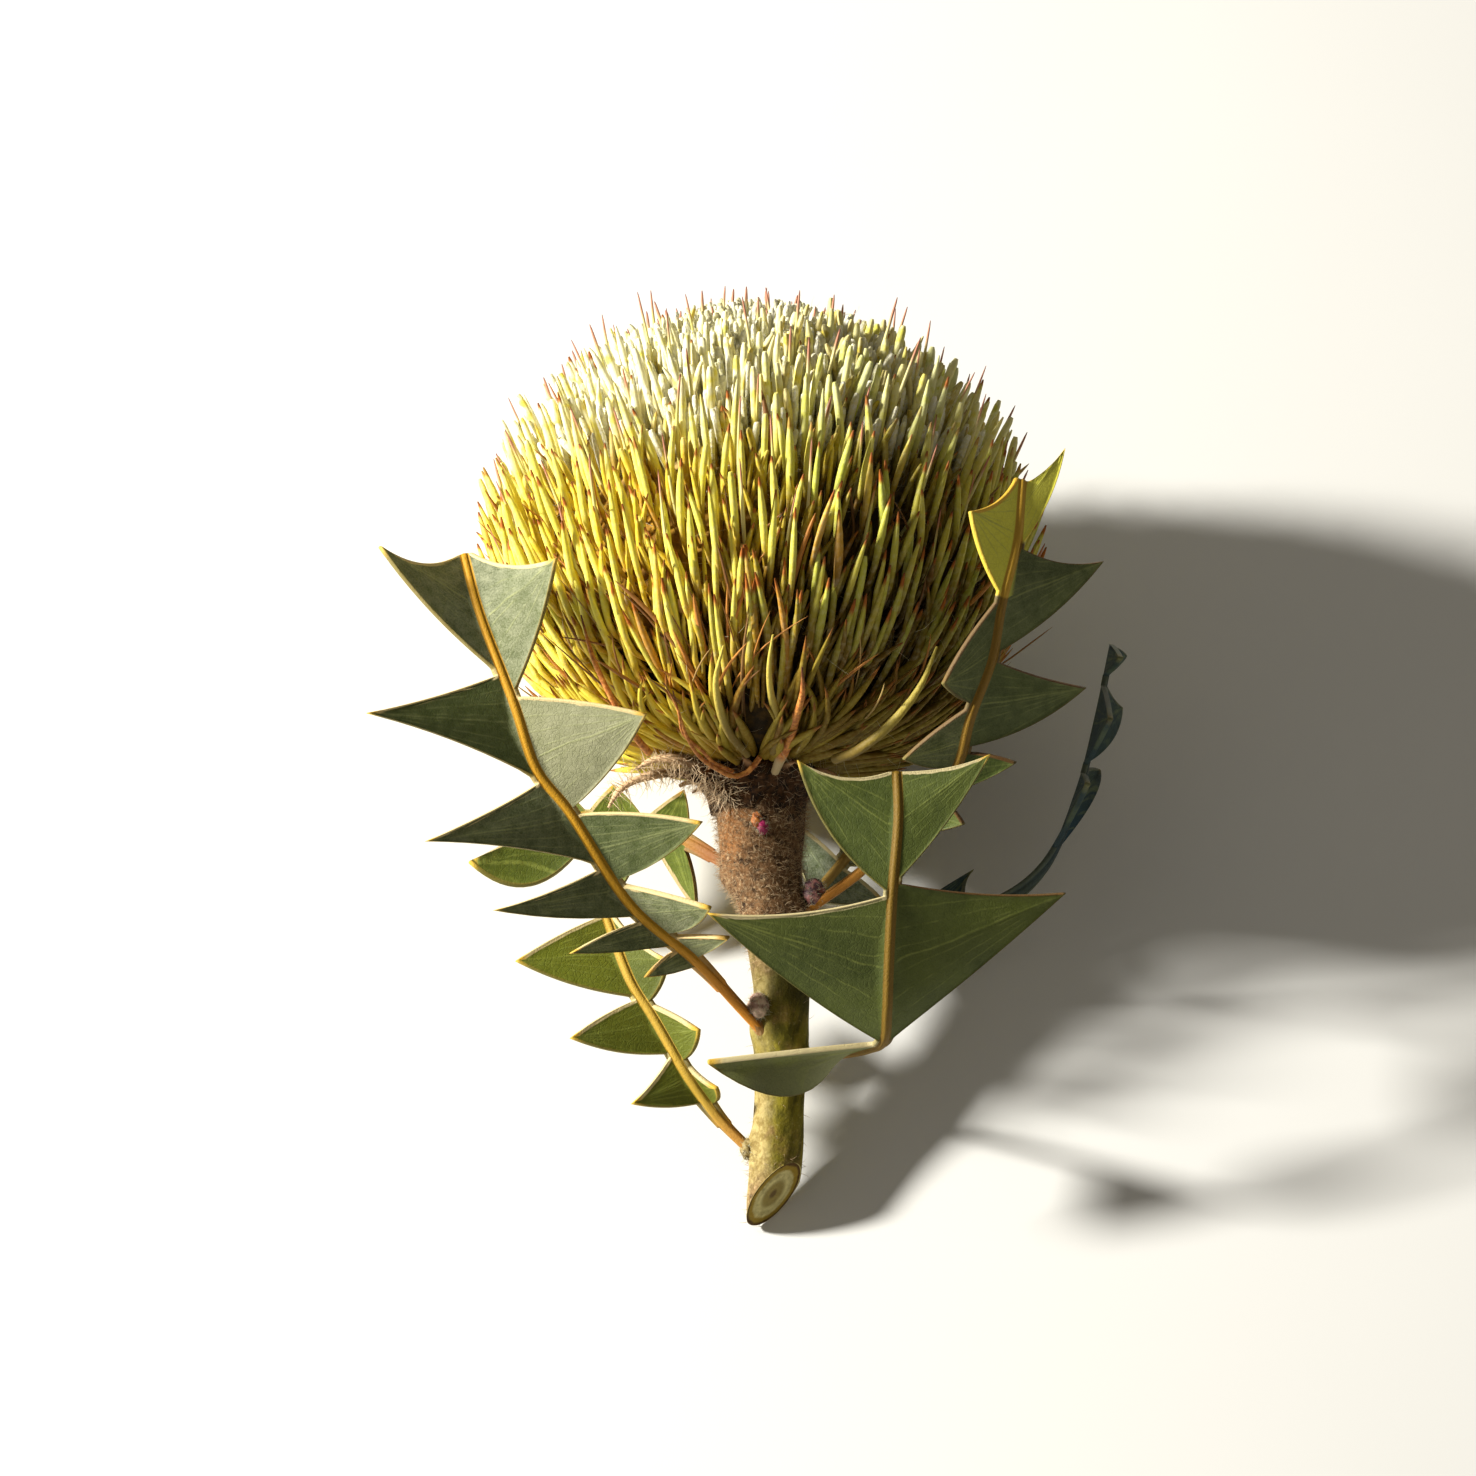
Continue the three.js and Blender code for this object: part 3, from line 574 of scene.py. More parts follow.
def underPaths(values):
    low, high = radiusToRow(12, False), radiusToRow(19.5, True)
    paths = []
    for rng, spot in spiral(values["seed"] + 1, thinned(values["underCount"]), low, high, 1.3, 0.07):
        tipLean = min(spot[2] * 0.4, 0.42) + rng.gauss(0, 0.17)
        length = (values["underLength"] + values["basalExtra"] * lowness(spot[2])) * rng.uniform(0.66, 1.12)
        path = floretPath(spot, length, tipLean, rng.gauss(0, 0.3), math.radians(24), rng.uniform(1.0, 4.6))
        if not overHollow(path):
            paths.append(shaped(rng, path, spot[2], values["underRadius"] * rng.uniform(0.75, 1.2)))
    return paths


# Short woolly buds between the upper florets.
def woollyPaths(values):
    low, high = radiusToRow(37, True), radiusToRow(21, True)
    paths = []
    for rng, spot in spiral(values["seed"] + 2, thinned(values["woollyCount"]), low, high, 2.1):
        path = floretPath(spot, rng.uniform(7.5, 11.0), min(spot[2] * 0.42, 0.45) + rng.gauss(0, 0.1),
                          rng.gauss(0, 0.16), 0.2, 3.0)
        paths.append((path, profiles["blunt"] * 0.6 * rng.uniform(0.75, 1.2), rng.random()))
    return paths


# Floret colours: olive root darkened with painted shade where the florets crowd, yellow limb, brown point,
# pale wool toward the crown. The right side, away from the lamp, is painted darker.
def floretMaterial(name, values):
    graph = Graph(name, Roughness=0.5, Specular_IOR_Level=0.2)
    mix, noise = graph.mix, graph.noise
    along, seed, height = graph.attributes("along", "seed", "height")
    upward = height.step(92.0, 128.0)
    across = graph.rightward()
    # Share of painted shade, rising from the left of the head to the right, away from the lamp.
    shadedRight = across.step(-0.02, 0.018)
    # Root colour: lit tone on the left, painted shade on the right.
    root = mix(shadedRight * (1.0 - upward * 0.6), values["lit"], values["deep"])
    # Random yellow and green limbs, greener on the right: random tone with painted shade.
    graph.paint = mix((seed * 7.31).share() * (0.3 + 0.7 * shadedRight), values["limb"], values["green"])
    graph.over((seed * 13.7).share().step(0.92, 0.96) * (1.0 - upward * 0.9), values["withered"])
    # Painted shade over the right side, by the look's share.
    graph.over(shadedRight * (1.0 - upward * 0.7) * values["rightShade"], values["deep"])
    # Painted shade, warm brown, low on the right of the head.
    shadedLowRight = across.step(-0.018, 0.002) * height.step(100.0, 80.0)
    graph.over(shadedLowRight * (0.4 + 0.4 * (seed * 17.3).share().step(0.4, 0.6)), (108, 76, 12))
    # Painted shade at the far right.
    graph.over(across.step(0.012, 0.03) * (1.0 - upward * 0.6) * 0.44, (66, 48, 6))
    # Painted shade at the floret roots, where they crowd, less toward the crown.
    graph.over((along + upward * 0.25 - shadedRight * 0.1).step(0.62, 0.18), root)
    # Pale wool toward the crown, less on the right: real wool, thinned by painted shade.
    patches = noise(420.0)
    woolly = (height.step(110.0, 134.0) * 1.5 * patches.step(0.3, 0.6)).clipped()
    graph.over(woolly * (0.9 - 0.5 * shadedRight), values["pale"])
    graph.over(noise(1100.0, 2.0).step(0.4, 0.75) * 0.35, mix(0.45, graph.paint, values["pale"]))
    blurred = height.step(112.0, 128.0) * (seed * 5.9).share().step(0.3, 0.4)
    pointed = seed.calc("LESS_THAN", 1.0) * (1.0 - blurred)
    graph.over((along + ((seed * 3.7).share() - 0.5) * 0.06).step(0.89, 0.95) * pointed, values["tip"])
    graph.over(along.step(0.955, 1.0) * pointed * 0.6, (92, 48, 20))
    soft = noise(2600.0)
    return graph.finish((soft + patches, 0.4, 0.0002), Roughness=0.42 + 0.3 * soft)


# Floret looks: the lit root colour is for the left side, the deep colour is painted shade for the roots and
# the right side, and the right-side share says how much painted shade covers the right. The under and basal
# looks carry more of it.
floretColours = {
    "floretYellow": {"limb": (240, 226, 94), "green": (200, 206, 80), "lit": (206, 166, 36),
                     "deep": (106, 80, 8), "rightShade": 0.0, "withered": (200, 146, 56),
                     "tip": (170, 98, 36), "pale": (246, 243, 216)},
    "floretUnder": {"limb": (230, 202, 60), "green": (172, 158, 36), "lit": (186, 142, 22),
                    "deep": (70, 50, 5), "rightShade": 0.62, "withered": (184, 120, 36),
                    "tip": (150, 90, 32), "pale": (238, 234, 196)},
    "floretBasal": {"limb": (236, 214, 78), "green": (184, 170, 46), "lit": (176, 140, 30),
                    "deep": (102, 82, 14), "rightShade": 0.55, "withered": (180, 130, 52),
                    "tip": (150, 96, 38), "pale": (230, 218, 120)},
}
floretLooks = {name: floretMaterial(name, values) for name, values in floretColours.items()}


def woollyMaterial(name):
    graph = Graph(name, Roughness=0.8)
    along, seed = graph.attributes("along", "seed")
    wool = graph.noise(1500.0, 5.0, 0.65)
    # Darker yellow-green toward the foot: partly the bud's own colour, partly painted shade between the
    # packed buds.
    graph.paint = graph.mix(along.step(0.3, 0.75), (170, 160, 84), (240, 236, 202))
    graph.over(graph.noise(180.0).step(0.5, 0.7) * 0.6, (222, 212, 112))
    graph.over(seed.step(0.55, 0.85) * 0.5, (208, 200, 104))
    graph.over(wool.step(0.42, 0.62) * 0.7, (253, 252, 244))
    return graph.finish((wool, 0.9, 0.0006))


def coreMaterial():
    graph = Graph("headCore", Roughness=0.9)
    height, = graph.attributes("height")
    dapple = graph.noise(500.0, 4.0)
    shadedRight = graph.rightward().step(-0.02, 0.016)
    spots = dapple.step(0.4, 0.65)
    # Lit and painted-shade copies of the dappled brown core: painted shade on the right and low down.
    lit = graph.mix(spots, (126, 88, 12), (176, 132, 26))
    dark = graph.mix(spots, (40, 28, 5), (88, 64, 10))
    graph.paint = graph.mix(shadedRight.most(height.step(90.0, 76.0)), lit, dark)
    graph.over(height.step(108.0, 130.0),
               graph.mix(dapple.step(0.38, 0.6), (156, 150, 84), (222, 216, 168)))
    return graph.finish((dapple, 0.6, 0.0006))


coreLook = coreMaterial()


def coreObject(name, low, high, inset):
    sides = headLook["coreSides"]
    rows = list(range(low, high + 1, headLook["coreStep"]))
    if rows[-1] != high:
        rows.append(high)
    points, heights = [], []
    for row in rows:
        normal = leaning(around(0.0), outlineFromUp[row])
        depth = inset * limited((3.0 - outlineFromUp[row]) / 0.6, 0.2)
        radius = max(outline[row, 0] - depth * normal[0], 0.05)
        level = outline[row, 1] - depth * normal[2]
        for k in range(sides):
            points.append(np.array([pose["headAxis"], 0, level]) + around(2 * math.pi * k / sides) * radius)
            heights.append(outline[row, 1])
    felt = np.clip((np.array(heights) - 100) / 25, 0.08, 1)
    return meshObject(name, points, ringFaces(len(rows), sides), coreLook, {"height": heights, "felt": felt})


seamRow = radiusToRow(21, True)
headCore = carried(coreObject("headCore", 6, seamRow, 3.6), "florets", "flower_head")
carried(tubeObject("floretsOuter", floretPaths(headLook), 6, floretLooks["floretYellow"]),
        "florets", "flower_head")
carried(tubeObject("floretsUnder", underPaths(headLook), 4, floretLooks["floretUnder"]),
        "florets", "flower_head")
carried(tubeObject("floretsWoolly", woollyPaths(headLook), 5, woollyMaterial("woollyBuds"), felt=1.0),
        "florets", "flower_head")
print("scene: florets")

# Long flattened florets that sweep out from under the head.
basalLook = {"count": 470, "length": 26.0, "radius": 0.72, "seed": 5}


def basalPaths(values):
    rng = random.Random(values["seed"])
    paths = []
    for i in range(thinned(values["count"])):
        turn = i * pose["goldenAngle"] + rng.uniform(-0.08, 0.08)
        path = huggingPath(turn, rng.uniform(3.5, 15.0), values["length"] * rng.uniform(0.6, 1.12),
                           rng.gauss(0, 0.16), rng.uniform(0.0, 1.0), rng.uniform(0.8, 3.8))
        if not overHollow(path):
            paths.append((path, profiles["basal"] * values["radius"] * rng.uniform(0.7, 1.15), rng.random()))
    return paths


# Dry strands and withered florets among the lower ones.
dryLook = {"count": 200, "seed": 8, "radius": 0.19}


def dryPaths(values):
    rng = random.Random(values["seed"])
    low, high = radiusToRow(12, False), radiusToRow(36, True)
    paths = []
    for i in range(values["count"]):
        row = int(low + (high - low) * rng.random() ** 1.6)
        spot = headSpot(row, rng.uniform(0, 2 * math.pi))
        stout = rng.random() ** 3
        tipLean = rng.gauss(0.42, 0.4)
        length = (13 + 8 * lowness(spot[2])) * rng.uniform(0.7, 1.15)
        path = floretPath(spot, length, tipLean, rng.gauss(0, 0.75), math.radians(26), rng.uniform(6.0, 8.5))
        paths.append((path, profiles["dry"] * values["radius"] * (0.7 + 1.9 * stout), rng.random()))
    return paths


def dryMaterial():
    graph = Graph("floretDry", Roughness=0.6)
    along, seed = graph.attributes("along", "seed")
    chance = (seed * 5.3).share()
    graph.paint = graph.mix(chance.step(0.1, 0.5), (190, 126, 50), (116, 76, 30))
    graph.over(chance.step(0.7, 0.95), (196, 166, 100))
    graph.over(along.step(0.45, 0.1), (146, 112, 40))
    grain = graph.noise(1500.0)
    return graph.finish((grain, 0.4, 0.0003), Roughness=0.5 + 0.25 * grain)


carried(tubeObject("floretsBasal", basalPaths(basalLook), 6, floretLooks["floretBasal"]),
        "florets", "flower_head")
carried(tubeObject("floretsDry", dryPaths(dryLook), 5, dryMaterial()), "florets", "flower_head")

# Single dry strands low on the front: one stands up, two curl to the left, straps edge the hollow.
strandLook = [
    {"through": [(0, 68.5, -9.5), (1.3, 71.7, -15), (2.4, 74.1, -20.5), (3.4, 77.6, -27.5),
                 (4.3, 81.1, -33.5), (4.2, 85.1, -38)],
     "radii": [0.7, 1.0, 0.76, 0.7, 0.5, 0.12], "kind": 0.2},
    {"through": [(-2.4, 70.9, -14), (-4.3, 68.5, -13), (-6.4, 67.8, -13.5), (-9.3, 69, -17),
                 (-12, 70.9, -21.5), (-13.9, 73.9, -26), (-15.2, 77.6, -30.5), (-16.2, 81.4, -34.5)],
     "radii": [0.5, 0.45, 0.36, 0.32, 0.3, 0.28, 0.24, 0.08], "kind": 0.35},
    {"through": [(-6.8, 68.6, -13), (-9.8, 70, -18.2), (-11.6, 71.9, -22.6), (-14.6, 74.6, -26.6),
                 (-15.4, 78.4, -31.8), (-17.6, 82.6, -35.6)],
     "radii": [0.34, 0.3, 0.28, 0.26, 0.22, 0.08], "kind": 0.3},
    {"through": [(-4.4, 71.2, -15), (-7.2, 74.6, -22), (-8.8, 78.6, -28.5), (-9.4, 83.4, -34.5),
                 (-8.2, 88.5, -38.5)],
     "radii": [0.6, 0.74, 0.7, 0.5, 0.16], "kind": 0.8},
    {"through": [(-0.4, 71.6, -15.5), (1.0, 75.4, -23), (-0.6, 80.4, -31), (-1.0, 85.4, -37),
                 (-0.4, 90.2, -40.5)],
     "radii": [0.6, 0.74, 0.66, 0.48, 0.16], "kind": 0.8},
    {"through": [(-20, 71.5, -17), (-22.5, 74.5, -21.5), (-25.6, 79.6, -25.5), (-28.8, 86.4, -27.8),
                 (-30.8, 93.4, -28.6)],
     "radii": [0.6, 0.55, 0.5, 0.4, 0.12], "kind": 0.35},
    {"through": [(9.5, 70.5, -17), (13.5, 72.2, -22.5), (18.8, 76.6, -26.5), (23.2, 82.5, -28.8),
                 (25.6, 88.4, -29.8)],
     "radii": [0.8, 0.85, 0.8, 0.55, 0.2], "kind": 0.8},
]


def strandMaterial():
    graph = Graph("headStrands", Roughness=0.6)
    mix = graph.mix
    along, kind = graph.attributes("along", "seed")
    grain = graph.noise(1300.0)
    dry = mix(grain.step(0.35, 0.65), (176, 96, 30), (226, 154, 72))
    dry = mix(along.step(0.8, 1.0), dry, (96, 48, 22))
    fresh = mix(along.step(0.2, 0.8), (126, 104, 30), (206, 186, 80))
    graph.paint = mix(kind.step(0.5, 0.6), dry, fresh)
    graph.over(along.step(0.2, 0.1) * kind.step(0.28, 0.24), (196, 176, 132))
    return graph.finish((grain, 0.5, 0.0004), Roughness=0.5 + 0.25 * grain)


headStrands = [strandPath(strand, 20, strand["kind"]) for strand in strandLook]
carried(tubeObject("headStrands", headStrands, 8, strandMaterial()), "florets", "flower_head")

# Crown: closed woolly buds, with single thin styles that stand higher, as some do on the head.
crownLook = {"count": 1060, "length": 8.6, "radius": 0.62, "seed": 21, "styleRadius": 0.22,
             "crownStyles": {"seed": 22, "count": 64, "lengths": (8.8, 12.4)},
             "headStyles": {"seed": 23, "count": 130, "lengths": (14.6, 19.0)}}


def crownPaths(values):
    paths = []
    rows = radiusToRow(24.5, True), len(outline) - 2
    for rng, spot in spiral(values["seed"], thinned(values["count"]), *rows):
        path = floretPath(spot, values["length"] * rng.uniform(0.84, 1.12),
                          spot[2] * 0.5 + rng.gauss(0, 0.09), rng.gauss(0, 0.14), 0.1, 3.0)
        paths.append((path, profiles["blunt"] * values["radius"] * rng.uniform(0.8, 1.15), rng.random()))
    return paths


def stylePaths(values, low, high):
    paths = []
    for rng, spot in spiral(values["seed"], values["count"], low, high, 0.6, 0.1):
        path = floretPath(spot, rng.uniform(*values["lengths"]),
                          min(spot[2] * 0.34, 0.42) + rng.gauss(0, 0.09), rng.gauss(0, 0.12), 0.45,
                          rng.uniform(4.0, 6.0))
        style = (path, profiles["style"] * crownLook["styleRadius"] * rng.uniform(0.8, 1.3), rng.random())
        if lay(path)[:, 1].max() < startBounds[1][1] + pose["styleRise"]:
            paths.append(style)
    return paths


def styleMaterial():
    graph = Graph("styles", Roughness=0.5, Specular_IOR_Level=0.2)
    along, seed = graph.attributes("along", "seed")
    graph.paint = graph.mix(seed, (230, 220, 160), (206, 198, 116))
    graph.over(along.step(0.66, 0.88), (190, 132, 106))
    graph.over(along.step(0.94, 1.0), (132, 66, 58))
    return graph.finish()


carried(coreObject("crownCore", seamRow, len(outline) - 1, 2.6), "crown", "flower_crown")
crownBuds = carried(tubeObject("crownBuds", crownPaths(crownLook), 5, woollyMaterial("crownBuds"), felt=1.0),
                    "crown", "flower_crown")
styleLook = styleMaterial()
for name, low, high, slot, node in (
        ("crownStyles", seamRow, radiusToRow(3, True), "crown", "flower_crown"),
        ("headStyles", radiusToRow(39, False), seamRow, "florets", "flower_head")):
    carried(tubeObject(name, stylePaths(crownLook[name], low, high), 4, styleLook), slot, node)
print("scene: crown")


def woolMaterial(name, colour, shade):
    graph = Graph(name, Roughness=0.8)
    graph.paint = graph.mix(graph.noise(300.0, 2.0), colour, shade)
    return graph.finish()


woolColours = {
    "woolPale": ((226, 224, 200), (176, 172, 132)),
    "woolWhite": ((250, 250, 242), (226, 224, 196)),
    "woolBrown": ((222, 196, 156), (126, 96, 64)),
    "woolFair": ((238, 218, 184), (170, 138, 100)),
    "woolTan": ((236, 216, 186), (150, 116, 82)),
}
woolLooks = {name: woolMaterial(name, *colours) for name, colours in woolColours.items()}

# Wool, felt and hair: density, seed, length, thickness, tousle and colour.
hairLook = {
    "headWool": (420000.0, 3, 0.0068, 0.00007, 0.7, "woolPale"),
    "crownWool": (150000.0, 4, 0.0016, 0.00006, 1.0, "woolWhite"),
    "stemFelt": (3600000.0, 9, 0.0013, 0.00005, 0.8, "woolBrown"),
    "hookHair": (4200000.0, 15, 0.0028, 0.00008, 0.5, "woolFair"),
    "bractHair": (3000000.0, 5, 0.0022, 0.00005, 0.6, "woolTan"),
}


def haired(name, surface, slot, look=None):
    *values, wool = look or hairLook[name]
    return carried(hairObject(name, surface, *values, woolLooks[wool]), slot)


haired("headWool", headCore, "florets")
haired("crownWool", crownBuds, "crown")
print("scene: wool")

# Stem: felted brown above, yellow-green below, cut across at a slant.
stemLook = {
    "sections": [(-0.3, 0, 4.3), (0.2, 8, 4.25), (0.8, 17, 4.05), (1.1, 27, 4.5), (0.9, 35, 4.6),
                 (0.1, 43, 4.9), (-0.8, 49, 5.5), (-2.1, 55, 6.6), (-2.2, 61, 7.1), (-2.5, 66, 7.4),
                 (-2.6, 70, 7.6)],
    "top": 70.0,
    "cutFacing": (0.6, -0.5, -0.72),
    "cutHeight": 1.5,
    "cutRings": (0.04, 0.2, 0.4, 0.6, 0.78, 0.88, 0.95, 0.995),
    "sides": 72,
    "rings": 170,
    "knuckles": [(27.5, 200, 1.0), (9.0, 185, 0.8), (23.0, -25, 0.9), (52.0, 165, 1.3), (47.0, -20, 0.9),
                 (39.0, 20, 0.8), (43.5, 75, 0.8), (61.0, 215, 0.7)],
    "knuckleSpread": (2.4, 0.42),
    "warmSpots": [(57.0, 215, 3.4, 0.45), (28.0, 225, 2.4, 0.5), (62.0, 235, 2.0, 0.3)],
}


def stemAt(height):
    right, level, radius = np.array(stemLook["sections"], dtype=float).T
    return np.interp(height, level, right), np.interp(height, level, radius)


def stemMaterial():
    graph = Graph("stemBark", Roughness=0.8, Specular_IOR_Level=0.2)
    mix, noise = graph.mix, graph.noise
    height, cut, warm = graph.attributes("height", "cut", "warm")
    patches, fine, grains = noise(150.0, 4.0, 0.6), noise(1500.0, 5.0, 0.7), noise(650.0, 5.0, 0.7)
    stretched = graph.node("ShaderNodeVectorMath", {"operation": "MULTIPLY"},
                           {0: graph.place(), 1: (1.0, 0.12, 1.0)})
    fibres = noise(800.0, vector=stretched)

    green = mix(fibres.step(0.3, 0.7), (78, 73, 8), (130, 119, 28))
    green = mix(patches.step(0.5, 0.7) * 0.5, green, (150, 124, 60))
    green = mix(fine.step(0.55, 0.7) * 0.3, green, (196, 182, 120))
    # Pale tan felt on the left, the side toward the lamp, most near the foot: partly real felt, partly
    # painted light.
    litLeftFelt = (graph.rightward() + (patches - 0.5) * 0.003).step(0.0044, 0.0016)
    downward = (height + (patches - 0.5) * 12.0).step(24.0, 12.0)
    # Painted shadow of the leaf above: darker green 27 to 34 mm up the stem.
    green = mix(height.step(27.0, 34.0) * 0.75, green, (50, 45, 8))
    graph.paint = mix(litLeftFelt * (0.35 + 0.5 * downward), green,
                      mix(grains.step(0.36, 0.62), (144, 122, 70), (196, 176, 118)))

    felt = mix(grains.step(0.3, 0.6), (40, 25, 13), (122, 90, 58))
    felt = mix(fine.step(0.5, 0.68) * 0.74, felt, (196, 168, 130))
    felt = mix((warm * 0.8).clipped() * grains.step(0.35, 0.55) * 0.55, felt, (166, 104, 44))
    brownness = ((height - 37.0) / 8.0 + (patches - 0.5) * 2.4).clipped()
    low = ((6.0 - height) / 9.0 + (patches - 0.5) * 3.0).clipped()
    graph.over(brownness.most(low * 0.85).most(patches.step(0.6, 0.72) * 0.55), felt)
    # Dark brown at the top of the neck under the head: partly the felt's own colour, partly painted shade
    # from the head.
    graph.over(height.step(60.0, 66.0), mix(grains.step(0.4, 0.6), (28, 18, 9), (76, 50, 28)))

    ragged = cut + (grains - 0.5) * 0.16
    wood = mix(ragged.step(0.3, 0.56), (156, 138, 76), (216, 204, 140))
    rings = ((cut * 22.0).calc("SINE") * 0.5 + 0.5) * 0.3
    wood = mix(rings + grains.step(0.4, 0.7) * 0.45, wood, (126, 112, 62))
    wood = mix(ragged.step(0.68, 0.8), wood, (150, 124, 42))
    wood = mix(ragged.step(0.86, 0.95), wood, (84, 60, 24))
    wood = mix(ragged.step(0.2, 0.06), wood, (104, 84, 48))
    graph.over(cut.step(0.0, 0.01), wood)
    relief = fine * 0.5 + fibres * 0.5 + grains * (0.3 + brownness)
    return graph.finish((relief, 0.8, 0.0006), Roughness=0.65 + 0.3 * fine)


def apartness(angle, degrees):
    turn = angle - math.radians(degrees)
    return math.atan2(math.sin(turn), math.cos(turn))


# How near a spot on the stem is to a mark on it, 1 at the mark itself.
def nearness(height, angle, level, degrees, tall, wide):
    return math.exp(-((height - level) / tall) ** 2 - (apartness(angle, degrees) / wide) ** 2)


def stemPoint(height, angle):
    right, radius = stemAt(height)
    ripple = 0.12 * math.sin(3 * angle + height * 0.21) + 0.07 * math.sin(7 * angle - height * 0.5)
    bumps = 0.0
    for level, degrees, size in stemLook["knuckles"]:
        bumps += size * nearness(height, angle, level, degrees, *stemLook["knuckleSpread"])
    reach = radius + ripple * 0.8 - 0.1 + bumps
    return np.array([right + reach * math.cos(angle), reach * math.sin(angle), height])


def cutPoint(angle, share):
    facing = stemLook["cutFacing"]
    right, radius = stemAt(0)
    x = right + radius * share * math.cos(angle)
    y = radius * share * math.sin(angle)
    return np.array([x, y, stemLook["cutHeight"] - (facing[0] * x + facing[1] * y) / facing[2]])


def stemObject():
    sides, rings = stemLook["sides"], stemLook["rings"]
    angles = [2 * math.pi * k / sides for k in range(sides)]
    points, cut, warm = [], [], []
    for share in stemLook["cutRings"]:
        points += [cutPoint(angle, share) for angle in angles]
        cut += [share] * sides
        warm += [0.0] * sides
    for i in range(rings):
        share = i / (rings - 1)
        for angle in angles:
            low = cutPoint(angle, 1.0)[2]
            points.append(stemPoint(low + (stemLook["top"] - low) * share, angle))
            warm.append(sum(nearness(points[-1][2], angle, *spot) for spot in stemLook["warmSpots"]))
        cut += [0.0] * sides
    heights = np.array(points)[:, 2]
    felt = np.clip((heights - 36) / 12, 0.015, 1) + np.clip((8 - heights) / 10, 0, 0.12)
    felt = felt * (np.array(cut) == 0)
    return meshObject("stemBark", points, ringFaces(rings + len(stemLook["cutRings"]), sides), stemMaterial(),
                      {"cut": cut, "height": heights, "felt": felt, "warm": warm})


stem = carried(stemObject(), "stem", "stem")
haired("stemFelt", stem, "stem")
print("scene: stem")

# Buds on the stem: place, size, colour and shade.
budLook = {
    "budMagenta": {"at": (-1.9, -7.2, 59.3), "size": (0.85, 0.9, 1.2), "colour": (186, 36, 104),
                   "shade": (120, 24, 60), "seed": 1},
    "budOrange": {"at": (-2.9, -7.0, 60.6), "size": (0.9, 0.9, 1.3), "colour": (220, 140, 66),
                  "shade": (150, 84, 40), "seed": 6},
    "budPurple": {"at": (6.2, -3.0, 49.6), "size": (1.75, 1.5, 2.2), "colour": (164, 108, 104),
                  "shade": (84, 58, 64), "seed": 2},
    "budWoolly": {"at": (-2.7, -4.1, 31.0), "size": (1.65, 1.4, 2.1), "colour": (220, 190, 170),
                  "shade": (156, 122, 108), "seed": 3},
    "budLow": {"at": (-4.3, -0.6, 8.4), "size": (1.2, 1.3, 1.8), "colour": (160, 140, 84),
               "shade": (110, 92, 50), "seed": 4},
}


def budObject(name, values):
    rng = random.Random(values["seed"])
    rows, sides = 22, 24
    points = []
    for i in range(rows):
        polar = math.pi * (0.03 + 0.94 * i / (rows - 1))
        for k in range(sides):
            angle = 2 * math.pi * k / sides
            scale = 1 + 0.12 * math.sin(4 * angle + i * 0.8) + rng.uniform(-0.02, 0.02)
            ball = around(angle) * scale * math.sin(polar) - np.array([0, 0, math.cos(polar)])
            points.append(np.array(values["at"]) + np.array(values["size"]) * ball)
    graph = Graph(name, Roughness=0.6)
    scales = graph.noise(900.0)
    graph.paint = graph.mix(scales.step(0.4, 0.62), values["shade"], values["colour"])
    return meshObject(name, points, ringFaces(rows, sides), graph.finish((scales, 0.7, 0.0004)),
                      {"felt": [1.0] * len(points)})


for name, values in budLook.items():
    bud = carried(budObject(name, values), "stem")
    haired(name + "Hair", bud, "stem", (6000000.0, values["seed"], 0.0008, 0.00004, 0.7, "woolPale"))

# Bracts: dry, twisted and hairy, round the foot of the head, with two curled hooks on the left.
bractLook = {
    "hooks": [{"through": [(-6.4, 64.6, -5.5), (-9.3, 66.4, -7), (-13.3, 68, -7.5), (-16.8, 68.3, -7.5),
                           (-19.5, 68, -7.5), (-22.6, 67, -7.5), (-24.8, 65.6, -7.5), (-26.6, 62.8, -7.5)],
               "radii": [1.6, 1.25, 1.0, 0.82, 0.74, 0.68, 0.56, 0.2]},
              {"through": [(-6.6, 66.4, -7), (-11.4, 68.8, -9), (-15.4, 70.6, -10), (-19.4, 70.4, -10),
                           (-22.2, 68.8, -9.5)],
               "radii": [1.3, 1.15, 0.95, 0.7, 0.2]}],
    "blades": [(236, 15, 0.5, 3.0), (262, 14, -1.0, 3.2), (292, 14, -0.5, 3.0), (322, 15, 1.0, 3.0),
               (352, 16, 2.0, 3.0), (25, 15, 1.5, 3.0), (62, 15, 1.5, 3.0), (98, 16, 2.5, 3.0),
               (132, 14, 0.6, 3.0), (160, 14, 0.2, 3.0)],
    "foot": 67.7,
    "start": 8.2,
    "extra": 46,
    "rows": 18,
    "section": 8,
    "collar": [(7.5, 62.6), (8.1, 64.8), (9.3, 66.6), (10.6, 68.3), (10.6, 70.4)],
    "collarSides": 64,
    "seed": 14,
}


def bractMaterial(name, pale):
    graph = Graph(name, Roughness=0.75, Specular_IOR_Level=0.2)
    along, = graph.attributes("along")
    fibres = graph.noise(700.0, 5.0, 0.7)
    graph.paint = graph.mix(fibres.step(0.38, 0.66), (28, 17, 9), (98, 66, 38))
    graph.over(along.step(0.3, 0.8) * 0.85, pale)
    return graph.finish((fibres, 0.8, 0.0006))


